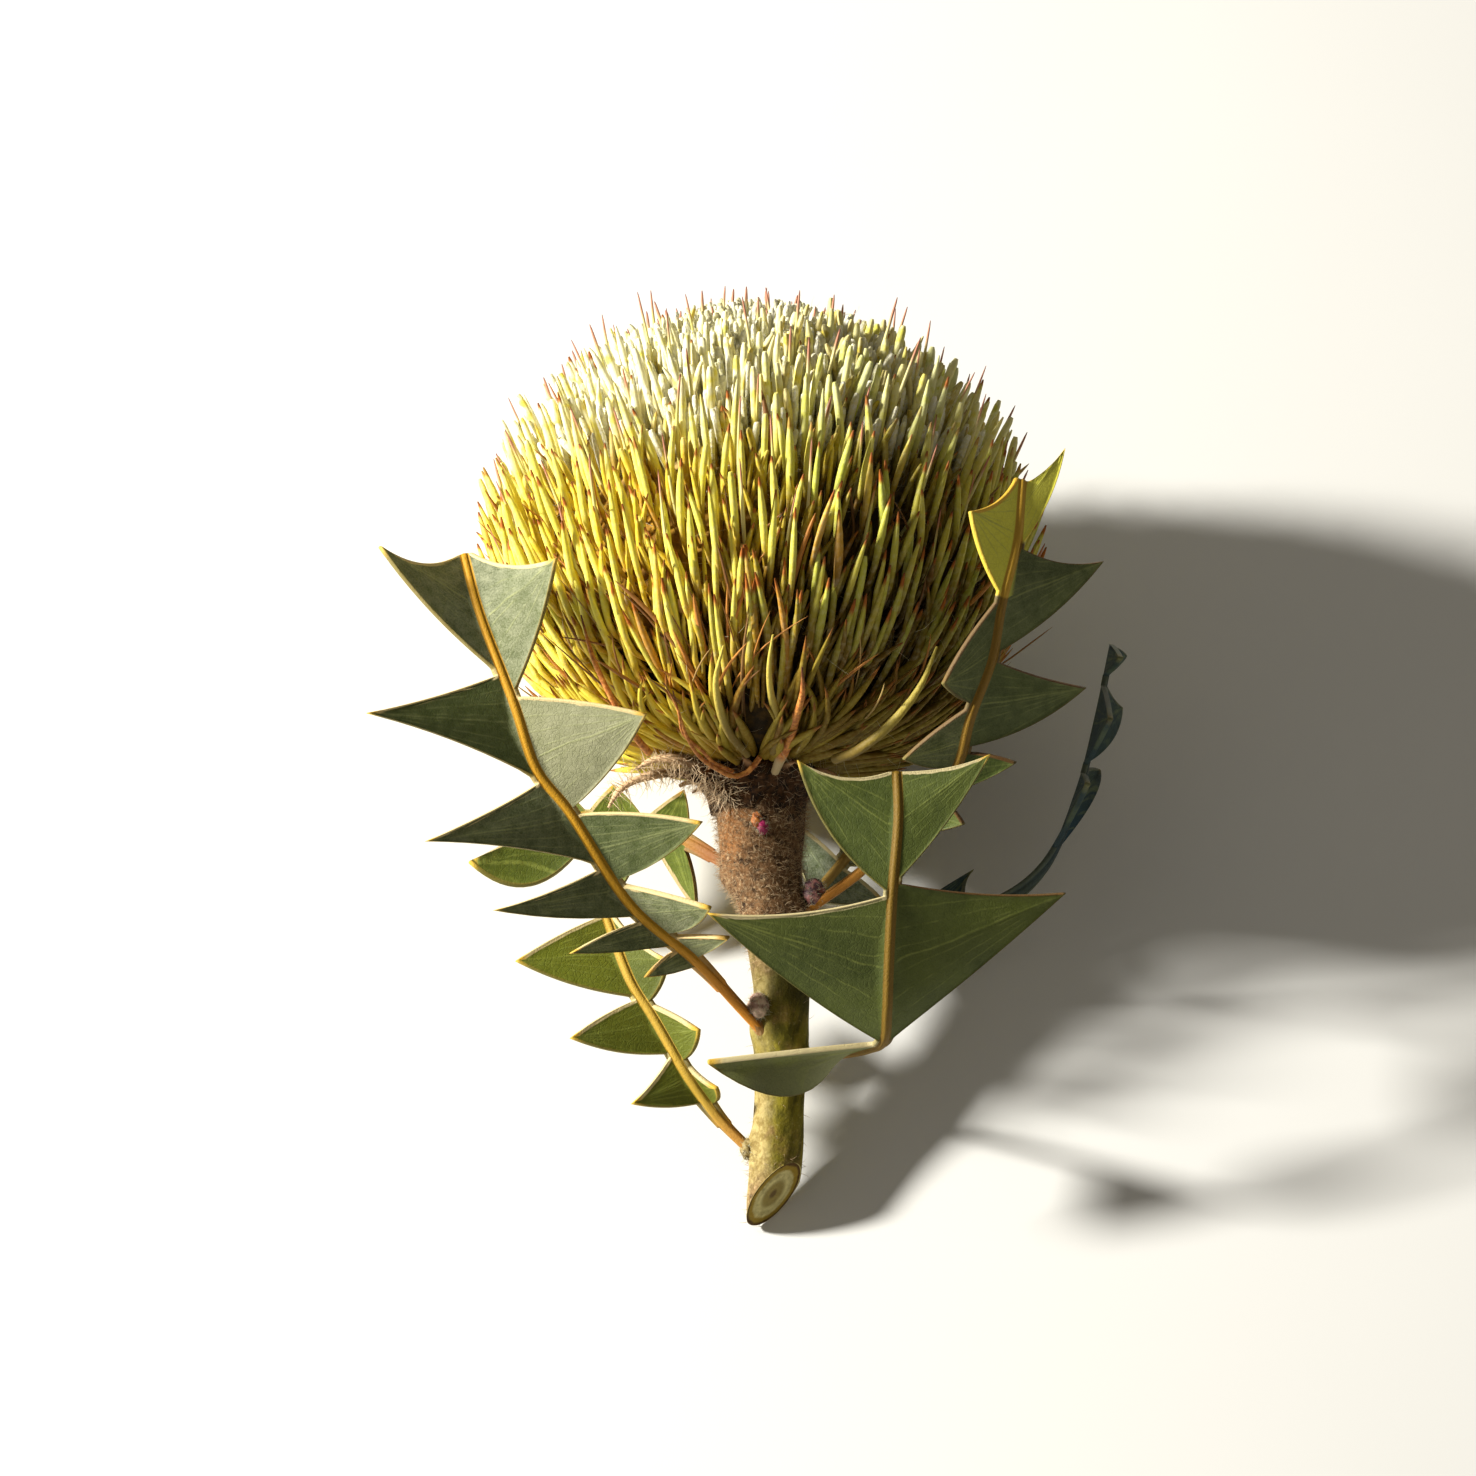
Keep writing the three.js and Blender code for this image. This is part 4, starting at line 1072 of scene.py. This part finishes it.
def bractObject(values):
    rng = random.Random(values["seed"])
    points, faces, along, felt = [], [], [], []
    blades = [(*blade, values["foot"]) for blade in values["blades"]]
    blades += [(rng.uniform(0, 360), rng.uniform(10.0, 13.0), rng.uniform(-3.5, 1.0), rng.uniform(1.4, 2.6),
                values["foot"] + rng.uniform(-1.6, 1.8)) for _ in range(values["extra"])]
    rows, section = values["rows"], values["section"]
    for turn, reach, droop, width, foot in blades:
        out = around(math.radians(turn))
        side = around(math.radians(turn + 90))
        start = len(points)
        sway = rng.uniform(-2.2, 2.2)
        twist = rng.uniform(-1.2, 1.2)
        for i in range(rows):
            t = i / (rows - 1)
            rise = foot + math.sin(t * math.pi * 0.75) * 1.1 - droop * t ** 2
            centre = (out * (values["start"] + (reach - values["start"]) * t) + side * sway * t * t
                      + np.array([pose["headAxis"], 0, rise]))
            half = width / 2 * (1 - 0.7 * t)
            thick = 0.6 - 0.4 * t
            roll = twist * t
            for k in range(section):
                angle = 2 * math.pi * k / section
                flat, high = half * math.cos(angle), thick * math.sin(angle)
                points.append(centre - side * (flat * math.cos(roll) - high * math.sin(roll))
                              - np.array([0, 0, high * math.cos(roll) + flat * math.sin(roll)]))
        along += [i / (rows - 1) for i in range(rows) for _ in range(section)]
        felt += [0.25] * rows * section
        faces += [tuple(start + v for v in face) for face in ringFaces(rows, section)]
    start = len(points)
    sides = values["collarSides"]
    for radius, rise in values["collar"]:
        for k in range(sides):
            angle = 2 * math.pi * k / sides
            ragged = radius - 0.3 + 0.3 * math.sin(9 * angle + rise * 2) + 0.2 * math.sin(17 * angle - rise)
            points.append(around(angle) * ragged + np.array([pose["headAxis"], 0, rise]))
    collarCount = len(points) - start
    faces += [tuple(start + v for v in face) for face in ringFaces(len(values["collar"]), sides)]
    return meshObject("bractBlades", points, faces, bractMaterial("bractBrown", (176, 134, 94)),
                      {"along": along + [0.0] * collarCount, "felt": felt + [0.12] * collarCount})


def hookPaths(values):
    count = 24
    knobs = 1 + 0.12 * np.sin(np.linspace(0, 1, count) * 23)
    paths = [strandPath(hook, count, 0.5) for hook in values["hooks"]]
    return [(path, radii * knobs, kind) for path, radii, kind in paths]


bracts = carried(bractObject(bractLook), "bracts", "bracts")
fair = bractMaterial("bractFair", (226, 192, 152))
hooks = tubeObject("bractHooks", hookPaths(bractLook), 8, fair, felt=1.0)
carried(hooks, "bracts", "bracts")
haired("hookHair", hooks, "bracts")
haired("bractHair", bracts, "bracts")
print("scene: bracts")

# Leaves: the same midribs and lobes as the solids, with finer edges.
leafLook = {
    "start": 0.02,
    "halfBlade": 0.3,
    "halfRim": 0.46,
    "rimFade": 0.5,
    "rimReach": 0.36,
    "rimRings": ((0.55, 0.95), (1.0, 0.5)),
    "ribRise": 0.58,
    "ribFall": 0.55,
    "backRise": 0.35,
    "ribHalf": 0.78,
    "ribTipHalf": 0.46,
    "ribSpots": (0.75, 0.4, 0.0, -0.4, -0.75),
    "spread": (0, 0.08, 0.2, 0.34, 0.48, 0.62, 0.74, 0.84, 0.91, 0.955, 0.985, 1.0),
    "wingHalf": 0.62,
    "notchHalf": 1.05,
    "backlightLag": 0.105,
    "nerves": 7,
    "rows": 140,
}

# Lobe: start, peak, stop along the midrib, tip, lower and upper swell. Wear and shade, rim shade: side, from,
# to, amount.
leaves = [
    {"name": "leafLeftLarge", "node": "leaf_left_large", "look": "grey",
     "wearAndShade": [("left", 0.6, 0.79, 0.75), ("left", 0.2, 0.6, 0.4), ("right", 0.53, 0.75, -0.4),
              ("right", 0.38, 0.53, 0.62)],
     "midrib": [(-0.6, 25.6, -1.5), (-5.6, 31, -5), (-12.5, 38.4, -11), (-22.9, 47.4, -18),
                (-33, 62.7, -25), (-37.8, 68.8, -27), (-41.4, 79.4, -29.5), (-46.9, 93.8, -29.5),
                (-49.4, 103, -27)],
     "left": [(0.19, 0.205, 0.235, (-20.5, 36, -14), 0.3, 0.3),
              (0.25, 0.27, 0.315, (-32.3, 39.8, -21), 0.4, 0.4),
              (0.33, 0.37, 0.425, (-44.3, 46.7, -29), 0.8, -0.5),
              (0.44, 0.5, 0.6, (-55, 57.6, -35), -0.8, -0.4),
              (0.615, 0.68, 0.785, (-64.3, 77.8, -39), -0.8, -0.5),
              (0.8, 0.9, 1, (-62.4, 104, -36), 1.2, -2.2)],
     "right": [(0.2, 0.225, 0.25, (-7.5, 42.2, -19), 0.3, 0.3),
               (0.265, 0.31, 0.38, (-10.4, 47, -25), 1.2, 0.3),
               (0.395, 0.44, 0.52, (-11.8, 60.5, -29), 1.2, 0.8),
               (0.535, 0.62, 0.74, (-20.6, 77.6, -33), 1.0, 0.6),
               (0.755, 0.88, 1, (-34.7, 102.2, -37), 0.8, -1.6)]},
    {"name": "leafLeftSmall", "node": "leaf_left_small", "look": "bright",
     "wearAndShade": [("left", 0.2, 0.7, 0.3), ("right", 0.2, 1, 0.35)],
     "midrib": [(-2.4, 6.7, 0), (-8.6, 12.8, -1), (-13.9, 20, -3), (-19.4, 29.4, -4), (-22.9, 34.9, -4),
                (-27, 45.6, -3)],
     "left": [(0.28, 0.35, 0.46, (-22.6, 15.8, -7), 0.6, -0.3),
              (0.48, 0.56, 0.69, (-32.3, 26.2, -9), 1.0, 0.4),
              (0.71, 0.85, 1, (-41, 38.4, -8), 1.0, 0.4)],
     "right": [(0.25, 0.31, 0.4, (-9.4, 18.2, -5), 0.6, -0.3),
               (0.43, 0.53, 0.64, (-12.2, 27.4, -7), 0.6, 0.3),
               (0.66, 0.82, 1, (-17.2, 38.6, -6), 0.5, -0.8)]},
    {"name": "leafLeftBehind", "node": "leaf_left_behind", "look": "olive",
     "midrib": [(-3.6, 51, 0.5), (-15.4, 57.9, 6), (-24.8, 60.6, 10), (-37.6, 61.4, 12)],
     "left": [(0.34, 0.42, 0.52, (-12.6, 46.5, 10), 0.6, 0.4),
              (0.54, 0.63, 0.74, (-27.6, 45.8, 14), 0.8, 0.6),
              (0.76, 0.88, 1, (-48.8, 54, 9), (-38.3, 50.6, 11), -0.5)],
     "right": [(0.36, 0.46, 0.56, (-14.6, 65.2, 12.5), 0.4, 0.3),
               (0.58, 0.7, 0.8, (-26, 66, 15), 0.4, 0.2),
               (0.82, 0.9, 1, (-36.5, 67, 15), 0.4, -0.5)]},
    {"name": "leafRightUpper", "node": "leaf_right_upper", "look": "shade", "backlightFrom": 0.77,
     "shadedRim": [("left", 0, 0.77, 0.9), ("right", 0, 1, 1)],
     "wearAndShade": [("right", 0.28, 0.49, 0.95), ("right", 0.5, 0.67, 0.55), ("right", 0.67, 0.87, 0.3),
              ("left", 0.57, 0.77, 0.3)],
     "midrib": [(2.6, 44.6, -0.5), (6.7, 47.5, -2.5), (14.1, 53, -9), (21.6, 61, -17), (28.6, 69.1, -24),
                (30.9, 77.3, -29.5), (34.2, 86.4, -33), (35.8, 95.2, -35.5), (38.2, 104.8, -35),
                (39.2, 114.7, -31)],
     "left": [(0.45, 0.5, 0.565, (20.5, 70.7, -27), 0.6, 0.4),
              (0.58, 0.65, 0.76, (26.6, 82.6, -35.5), 0.4, 0.6),
              (0.78, 0.9, 1, (30.9, 109.6, -39), 0.8, -1.2)],
     "right": [(0.3, 0.34, 0.385, (29.8, 60.3, -20), 0.6, 0.4),
               (0.4, 0.44, 0.485, (37.9, 70, -25), 0.6, 0.4),
               (0.5, 0.57, 0.66, (49, 81.9, -24), 1.6, -0.4),
               (0.68, 0.77, 0.865, (51.8, 101.9, -26), 1.2, -1.2),
               (0.88, 0.95, 1, (45.9, 119.7, -26), 1.0, -0.4)]},
    {"name": "leafRightFront", "node": "leaf_right_front", "look": "deep",
     "shadedRim": [("left", 0, 1, 0.1), ("right", 0, 0.76, 1), ("right", 0.76, 1, 0.05)],
     "wearAndShade": [("left", 0.73, 1, 0.4), ("right", 0.76, 1, 0.3), ("left", 0.1, 0.36, -0.35)],
     "midrib": [(1.6, 21.4, -1), (6.4, 23, -5), (14.5, 24.6, -17), (17.1, 26, -22.5), (17.6, 30.7, -27),
                (17.8, 36.8, -30), (18.4, 49, -34), (19.4, 61.3, -35), (19.2, 68.5, -34)],
     "left": [(0.2, 0.28, 0.355, (-10.4, 22.7, -25), (2.2, 17.6, -19), 0.8),
              (0.385, 0.55, 0.72, (-10.4, 46.2, -37), 1.0, -1.4),
              (0.735, 0.88, 1, (3.7, 70.2, -36), 2.2, -1.8)],
     "right": [(0.385, 0.56, 0.75, (45.6, 49.3, -27), 0.4, -1.0),
               (0.765, 0.89, 1, (33.8, 71.2, -34), 0.8, -0.8)]},
    {"name": "leafRightFar", "node": "leaf_right_far", "look": "blue",
     "midrib": [(2.6, 38, 1), (12, 41.6, 6), (24.8, 44.8, 11), (36, 47.3, 13), (43.5, 53.5, 13),
                (48.8, 65.6, 11), (51.7, 76.8, 9), (54.2, 88.8, 8)],
     "left": [(0.24, 0.31, 0.38, (31.8, 52.5, 15), 0.2, -0.8),
              (0.6, 0.68, 0.75, (50, 66.6, -4), 0.5, 0.3),
              (0.77, 0.85, 0.92, (53.6, 77, -7), 0.5, 0.3),
              (0.94, 0.97, 1, (55.4, 86.8, -2), 0.3, 0.2)],
     "right": [(0.27, 0.35, 0.43, (33.6, 39.5, 18), 0.5, 0.5),
               (0.61, 0.7, 0.755, (52.3, 68.8, 24), (50.9, 64, 17), 0.3),
               (0.775, 0.86, 0.925, (55.9, 78.9, 24), (54.3, 74, 17), -0.4),
               (0.945, 0.975, 1, (56.6, 87.2, 18), 0.3, 0.2)]},
    {"name": "leafRightBehind", "node": "leaf_right_behind", "look": "pale",
     "midrib": [(-0.6, 42, 2.5), (3.4, 45.6, 9), (8, 50.5, 13.5), (14, 57.4, 15.5), (20, 62.4, 15)],
     "left": [(0.42, 0.52, 0.64, (2.5, 60.5, 16), 0.4, 0.3),
              (0.67, 0.8, 1, (11.5, 66, 17), 0.4, -0.5)],
     "right": [(0.4, 0.5, 0.62, (17.5, 47.5, 17), 0.5, 0.4),
               (0.65, 0.8, 1, (20.5, 55, 17), 0.6, 0.4)]},
]


def swollen(a, b, belly, inside, share):
    line = b - a
    return a + line * share + unit(np.cross(line, inside)) * belly * 4 * share * (1 - share)


# Distance from each spot to the nearest of the others, in blocks that keep memory small.
def nearest(spots, others, block=2000):
    return np.concatenate([np.linalg.norm(spots[k:k + block, None] - others[None], axis=2).min(axis=1)
                           for k in range(0, len(spots), block)])


# A leaf's midrib, rims and nerves, read by share of the midrib's length.
class LeafForm:
    signs = {"left": 1.0, "right": -1.0}

    def __init__(self, leaf):
        self.leaf = leaf
        self.course = Course([seen(p) for p in leaf["midrib"]])
        self.normals = {side: self.sideNormals(side) for side in self.signs}
        marks = {mark for side in self.signs for lobe in leaf[side] for mark in lobe[:3]}
        evenly = np.linspace(leafLook["start"], 1, leafLook["rows"]).tolist()
        self.shares = np.array(sorted({leafLook["start"], 1.0} | marks | set(evenly)))
        self.rows = [self.rowAt(share) for share in self.shares]

    def sideNormals(self, side):
        found = []
        for start, peak, stop, tip, *_ in self.leaf[side]:
            middle = (start + stop) / 2
            chord = self.course.at(stop) - self.course.at(start)
            normal = unit(np.cross(chord, seen(tip) - self.course.at(middle)))
            found.append((middle, normal * self.signs[side]))
        return found

    def normalAt(self, side, share):
        places, normals = zip(*self.normals[side])
        return unit(np.array([np.interp(share, places, [n[k] for n in normals]) for k in range(3)]))

    # Middle, facing, way across, and the normals and rims of both halves.
    def rowAt(self, share):
        normals = {side: self.normalAt(side, share) for side in self.signs}
        along = self.course.way(share)
        facing = normals["left"] + normals["right"]
        facing = unit(facing - along * facing.dot(along))
        across = unit(np.cross(facing, along))
        rims = {side: self.rimAt(side, share, across * sign) for side, sign in self.signs.items()}
        return self.course.at(share), facing, across, normals, rims

    def rimAt(self, side, share, out):
        def notch(place):
            return self.course.at(place) + out * leafLook["notchHalf"]

        for start, peak, stop, tip, lower, upper in self.leaf[side]:
            if start <= share <= stop:
                inside = self.normalAt(side, (start + stop) / 2) * self.signs[side]
                if share > peak:
                    return swollen(notch(stop), seen(tip), upper, inside, (stop - share) / (stop - peak))
                part = (share - start) / (peak - start)
                if isinstance(lower, tuple):  # a spot that the lower rim passes
                    swell = seen(lower) - (notch(start) + seen(tip)) / 2
                    return notch(start) * (1 - part) + seen(tip) * part + swell * 4 * part * (1 - part)
                return swollen(notch(start), seen(tip), -lower, inside, part)
        first = self.leaf[side][0][0]
        half = leafLook["notchHalf"]
        if share < first:
            half = leafLook["wingHalf"] + (half - leafLook["wingHalf"]) * (share / first) ** 3
        return self.course.at(share) + out * half

    # Place in the lobe's fan of nerves, how wide the fan is there, and whether it is past the tip.
    def fanAt(self, side, share, point):
        for start, peak, stop, tip, *_ in self.leaf[side]:
            if start <= share <= stop:
                foot, head, end = self.course.at(start), self.course.at(stop), seen(tip)
                area = np.linalg.norm(np.cross(head - foot, end - foot))
                toHead = np.linalg.norm(np.cross(point - foot, end - foot))
                both = toHead + np.linalg.norm(np.cross(point - head, end - head))
                span = both / max(area, 1e-6) * np.linalg.norm(head - foot)
                return toHead / max(both, 1e-6), span, float(share > peak)
        return 0.5, 0.0, 0.5

    # Wear and shade above nought: less felt and a greener, darker blade, partly worn felt and partly painted
    # shade; below nought a paler one, painted light. Rim shade: a rim darkened with painted shade.
    def markAt(self, key, side, share):
        return sum(amount for where, low, high, amount in self.leaf.get(key, ())
                   if where == side and low < share <= high)

    # Cells from rim to rim: point, normal, share of the half, distance from the rib, and the rib's rise.
    def lineOf(self, share, row):
        centre, facing, across, normals, rims = row
        ribHalf = leafLook["ribHalf"] + (leafLook["ribTipHalf"] - leafLook["ribHalf"]) * share
        rise = leafLook["ribRise"] * (1 - leafLook["ribFall"] * share)
        halves = []
        for side, sign in self.signs.items():
            foot, rim = centre + across * sign * ribHalf, rims[side]
            width = np.linalg.norm(rim - foot)
            cells = [(foot + (rim - foot) * v, unit(facing * (1 - v) + normals[side] * v), sign * v,
                      width * v + ribHalf, 0.0) for v in leafLook["spread"]]
            # Past the rim a value below nought says how thin it is.
            cells += [(rim + unit(rim - foot) * leafLook["rimReach"] * reach, cells[-1][1], sign,
                       width + ribHalf, -thinner) for reach, thinner in leafLook["rimRings"]]
            halves.append(cells)
        middle = [(centre + across * ribHalf * q, facing, 0.0, abs(q) * ribHalf, rise * math.sqrt(1 - q * q))
                  for q in leafLook["ribSpots"]]
        return halves[0][::-1] + middle + halves[1]


def leafObject(leaf, material):
    form = LeafForm(leaf)
    lines = [form.lineOf(share, row) for share, row in zip(form.shares, form.rows)]
    spots = np.array([cell[0] for line in lines for cell in line])
    edge = np.array([row[4][side] for side in form.signs for row in form.rows])
    tips = np.array([seen(lobe[3]) for side in form.signs for lobe in leaf[side]])
    distances = zip(nearest(spots, edge), nearest(spots, tips))
    backlightFrom = leaf.get("backlightFrom", 2.0)
    points, data = [], []
    for share, line in zip(form.shares, lines):
        fore, aft, values = [], [], []
        for (point, normal, v, fromRib, mark), (fromRim, fromTip) in zip(line, distances):
            edged = math.exp(-(fromRim / leafLook["rimFade"]) ** 2)
            half = leafLook["halfBlade"] + (leafLook["halfRim"] - leafLook["halfBlade"]) * edged
            if mark < 0:
                half *= -mark
                fromRim = 0.0
            raised = max(mark, 0.0)
            fore.append(point + normal * (half + raised))
            aft.append(point - normal * (half + raised * leafLook["backRise"]))
            side = "left" if v > 0 else "right"
            # Painted backlight from a share of the midrib on, a little later on the right half.
            paintedBacklight = float(share > backlightFrom + (leafLook["backlightLag"] if v < 0 else 0))
            values.append((fromRib, fromRim, *form.fanAt(side, share, point), fromTip, share, paintedBacklight,
                           form.markAt("wearAndShade", side, share),
                           form.markAt("shadedRim", "right" if v < 0 else "left", share)))
        points += fore + aft[::-1]
        data += values + values[::-1]
    names = ("rib", "rim", "fan", "span", "upper", "tip", "run", "paintedBacklight", "wearAndShade", "shadedRim")
    return meshObject(leaf["name"], points, ringFaces(len(lines), 2 * len(lines[0])), material,
                      dict(zip(names, np.array(data).T)))


# Swollen feet where the leaf stalks join the stem.
def footPaths():
    paths = []
    for leaf in leaves:
        course = Course([seen(p) for p in leaf["midrib"]])
        spots = [course.at(0) - course.way(0) * 1.2]
        spots += [course.at(share) for share in (0.0, 0.02, 0.045, 0.07, 0.1)]
        paths.append((spots, [2.1, 1.6, 1.15, 0.88, 0.74, 0.5], 0.5))
    return paths


def footMaterial():
    graph = Graph("stalkFeet", Roughness=0.7)
    along, = graph.attributes("along")
    fine = graph.noise(1500.0, 4.0, 0.7)
    graph.paint = graph.mix(along.step(0.1, 0.8), (132, 100, 50), (170, 112, 44))
    graph.over(fine.step(0.5, 0.68) * 0.6, (206, 176, 128))
    return graph.finish((fine, 0.6, 0.0004))


carried(tubeObject("stalkFeet", footPaths(), 16, footMaterial(), felt=0.6), "stem")

# Leaf colours: blade, felt and its share, share of bright green, rib, stalk and its end, gold of the rims.
leafColours = {
    "grey": ((88, 98, 52), (164, 166, 134), 0.72, 0.25, (190, 138, 22), (216, 142, 44), 0.3, 1.0),
    "shade": ((78, 88, 40), (138, 142, 102), 0.62, 0.25, (112, 82, 14), (176, 116, 36), 0.3, 1.0),
    "bright": ((108, 112, 18), (118, 128, 50), 0.34, 0.5, (186, 152, 54), (186, 134, 56), 0.3, 1.0),
    "olive": ((84, 96, 18), (112, 124, 50), 0.34, 0.5, (170, 136, 50), (144, 92, 48), 0.6, 1.0),
    # Olive leaf with a dark rib and stalk: partly its own colour, partly painted shade on a leaf that lies in
    # shade.
    "deep": ((76, 86, 26), (106, 114, 60), 0.45, 0.3, (98, 74, 6), (136, 94, 26), 0.3, 1.0),
    "blue": ((26, 52, 64), (46, 78, 90), 0.5, 0.1, (80, 84, 60), (96, 92, 50), 0.3, 0.16),
    "pale": ((104, 118, 70), (176, 184, 160), 0.8, 0.1, (176, 140, 66), (150, 104, 56), 0.5, 0.9),
}


def leafMaterial(key):
    blade, felt, feltShare, cloudShare, ribTint, stalk, stalkEnd, gold = leafColours[key]
    graph = Graph("leaf" + key.capitalize(), Roughness=0.55, Specular_IOR_Level=0.3)
    mix, noise = graph.mix, graph.noise
    rib, rim, fan, span, upper, tip, run, paintedBacklight, wearAndShade, shadedRim = graph.attributes(
        "rib", "rim", "fan", "span", "upper", "tip", "run", "paintedBacklight", "wearAndShade", "shadedRim")
    cloud, fine, crease = noise(70.0, 4.0, 0.6), noise(3600.0, 4.0, 0.75), noise(520.0, 3.0, 0.6)
    cells = graph.node("ShaderNodeTexVoronoi", {"feature": "DISTANCE_TO_EDGE"},
                       {"Vector": graph.place(), "Scale": 1300.0})
    graph.paint = mix(cloud.step(0.38, 0.66), blade, mix(0.55, blade, (36, 50, 10)))
    graph.over(noise(40.0, 2.0).step(0.5, 0.7) * cloudShare, (112, 124, 30))
    graph.over((fine * 0.6 + crease * 0.4).step(0.3, 0.68) * feltShare, felt)
    # Painted backlight: bright yellow-green light shining through the upper lobes.
    graph.over(paintedBacklight * (0.98 - cloud * 0.3), mix(crease, (255, 252, 104), (238, 232, 66)))
    # Painted shade on lobes facing away from the lamp, partly worn felt: a greener, darker blade.
    graph.over(wearAndShade.clipped(), mix(crease, (38, 52, 6), (76, 92, 20)))
    # Painted light: paler felt where the amount is below nought.
    graph.over((wearAndShade * -0.8).clipped(), mix(0.6, felt, (214, 206, 164)))

    count = float(leafLook["nerves"])
    place = fan + (noise(120.0, 2.0) - 0.5) * 0.1
    line = ((place * count + 0.5).share() - 0.5).calc("ABSOLUTE") * span / count
    main = (place - 0.5).calc("ABSOLUTE") * span
    broken = noise(260.0, 2.0).step(0.35, 0.6)
    away = rib.step(0.8, 1.5)
    nerve = line.step(0.2, 0.05) * broken * away * 0.28
    nerve = nerve.most(main.step(0.26, 0.06) * away * (0.2 + 0.3 * broken)) * (1.0 - wearAndShade.clipped() * 0.4)
    graph.over(nerve, mix(0.5, felt, (168, 176, 84)))
    graph.over(cells.step(0.1, 0.0) * 0.1, (40, 48, 20))

    stalked = run.step(stalkEnd, stalkEnd * 0.3)
    # Rib gold, flecked by fine noise with a painted highlight.
    ribColour = mix(fine, ribTint, mix(0.24, ribTint, (214, 170, 60)))
    # Painted backlight on the rib too.
    ribColour = mix(paintedBacklight * 0.75, ribColour, (208, 164, 52))
    ribNear = rib.step(0.98, 0.74)
    graph.over(ribNear * gold, mix(stalked, ribColour, stalk))
    # Upper rims paler and lower rims darker: painted light and shade on the thickened edge.
    rimColour = mix(upper, mix(0.7, ribTint, (112, 104, 50)), mix(0.75, ribTint, (234, 220, 168)))
    # Gold rims near lobe tips, and painted backlight on the rims.
    rimColour = mix(paintedBacklight.most(tip.step(2.6, 0.4)), rimColour, (222, 178, 62))
    # Painted shade on rims that face away from the lamp.
    rimColour = mix(shadedRim * (1.0 - paintedBacklight), rimColour, (104, 66, 34))
    # Upper rims drawn wider and stronger, partly painted light; shaded rims narrower.
    edge = rim - upper * (1.0 - shadedRim) * 0.34
    rimShare = edge.step(0.3, 0.12) * (1.0 - ribNear) * (0.6 + 0.4 * upper - 0.2 * shadedRim) * gold
    graph.over(rimShare, mix(stalked, rimColour, stalk))
    relief = fine * 0.5 + crease * 0.8 + nerve * 0.9 + cells.step(0.0, 0.1) * 0.25
    return graph.finish((relief, 0.4, 0.0003), Roughness=0.5 + 0.25 * fine)


leafLooks = {key: leafMaterial(key) for key in leafColours}
for leaf in leaves:
    carried(leafObject(leaf, leafLooks[leaf["look"]]), "leaf", leaf["node"])
    print("scene: leaf", leaf["name"])

# Floor, light and camera.
viewLook = {
    "elevation": 58.0,
    "distance": 2.6,
    "lens": 396.0,
    "centre": (-5.9, 73.9, 0.0),
    "keyAim": (0, 0, 0.04),
    "keyFrom": (-0.84, 0.1, 0.5),
    "keyDistance": 1.2,
    "keySize": 0.16,
    "keyPower": 36.0,
    "keyColour": (1.0, 0.97, 0.9),
    "worldColour": (1.0, 0.93, 0.8),
    "worldStrength": 0.2,
    "floorHalf": 3.0,
}


def floorObject():
    graph = Graph("floorPale", Roughness=0.9)
    graph.paint = graph.mix(graph.noise(8.0, 2.0), (226, 226, 223), (231, 231, 229))
    half = viewLook["floorHalf"]
    corners = [(-half, -half, 0), (half, -half, 0), (half, half, 0), (-half, half, 0)]
    made = meshObject("floor", corners, [(0, 1, 2, 3)], graph.finish(), laid=False)


def aimed(made, place, target):
    made.location = place
    made.rotation_euler = (Vector(target) - made.location).to_track_quat("-Z", "Y").to_euler()


def lights():
    centre = Vector(viewLook["keyAim"])
    key = bpy.data.lights.new("keyLight", "AREA")
    key.shape = "DISK"
    key.size = viewLook["keySize"]
    key.energy = viewLook["keyPower"]
    key.color = viewLook["keyColour"]
    place = centre + Vector(viewLook["keyFrom"]).normalized() * viewLook["keyDistance"]
    aimed(linked("keyLight", key), place, centre)
    world = bpy.data.worlds.new("studio")
    world.use_nodes = True
    background = world.node_tree.nodes["Background"]
    background.inputs["Color"].default_value = (*viewLook["worldColour"], 1.0)
    background.inputs["Strength"].default_value = viewLook["worldStrength"]
    bpy.context.scene.world = world


def camera():
    elevation = math.radians(viewLook["elevation"])
    target = Vector(lay([seen(viewLook["centre"])])[0])
    data = bpy.data.cameras.new("photoCamera")
    data.lens = viewLook["lens"]
    data.sensor_width = 36.0
    data.clip_end = 20.0
    made = linked("photoCamera", data)
    away = Vector((0, -math.cos(elevation), math.sin(elevation)))
    aimed(made, target + away * viewLook["distance"], target)
    bpy.context.scene.camera = made


floorObject()
lights()
camera()
bpy.context.scene.view_settings.view_transform = "Standard"
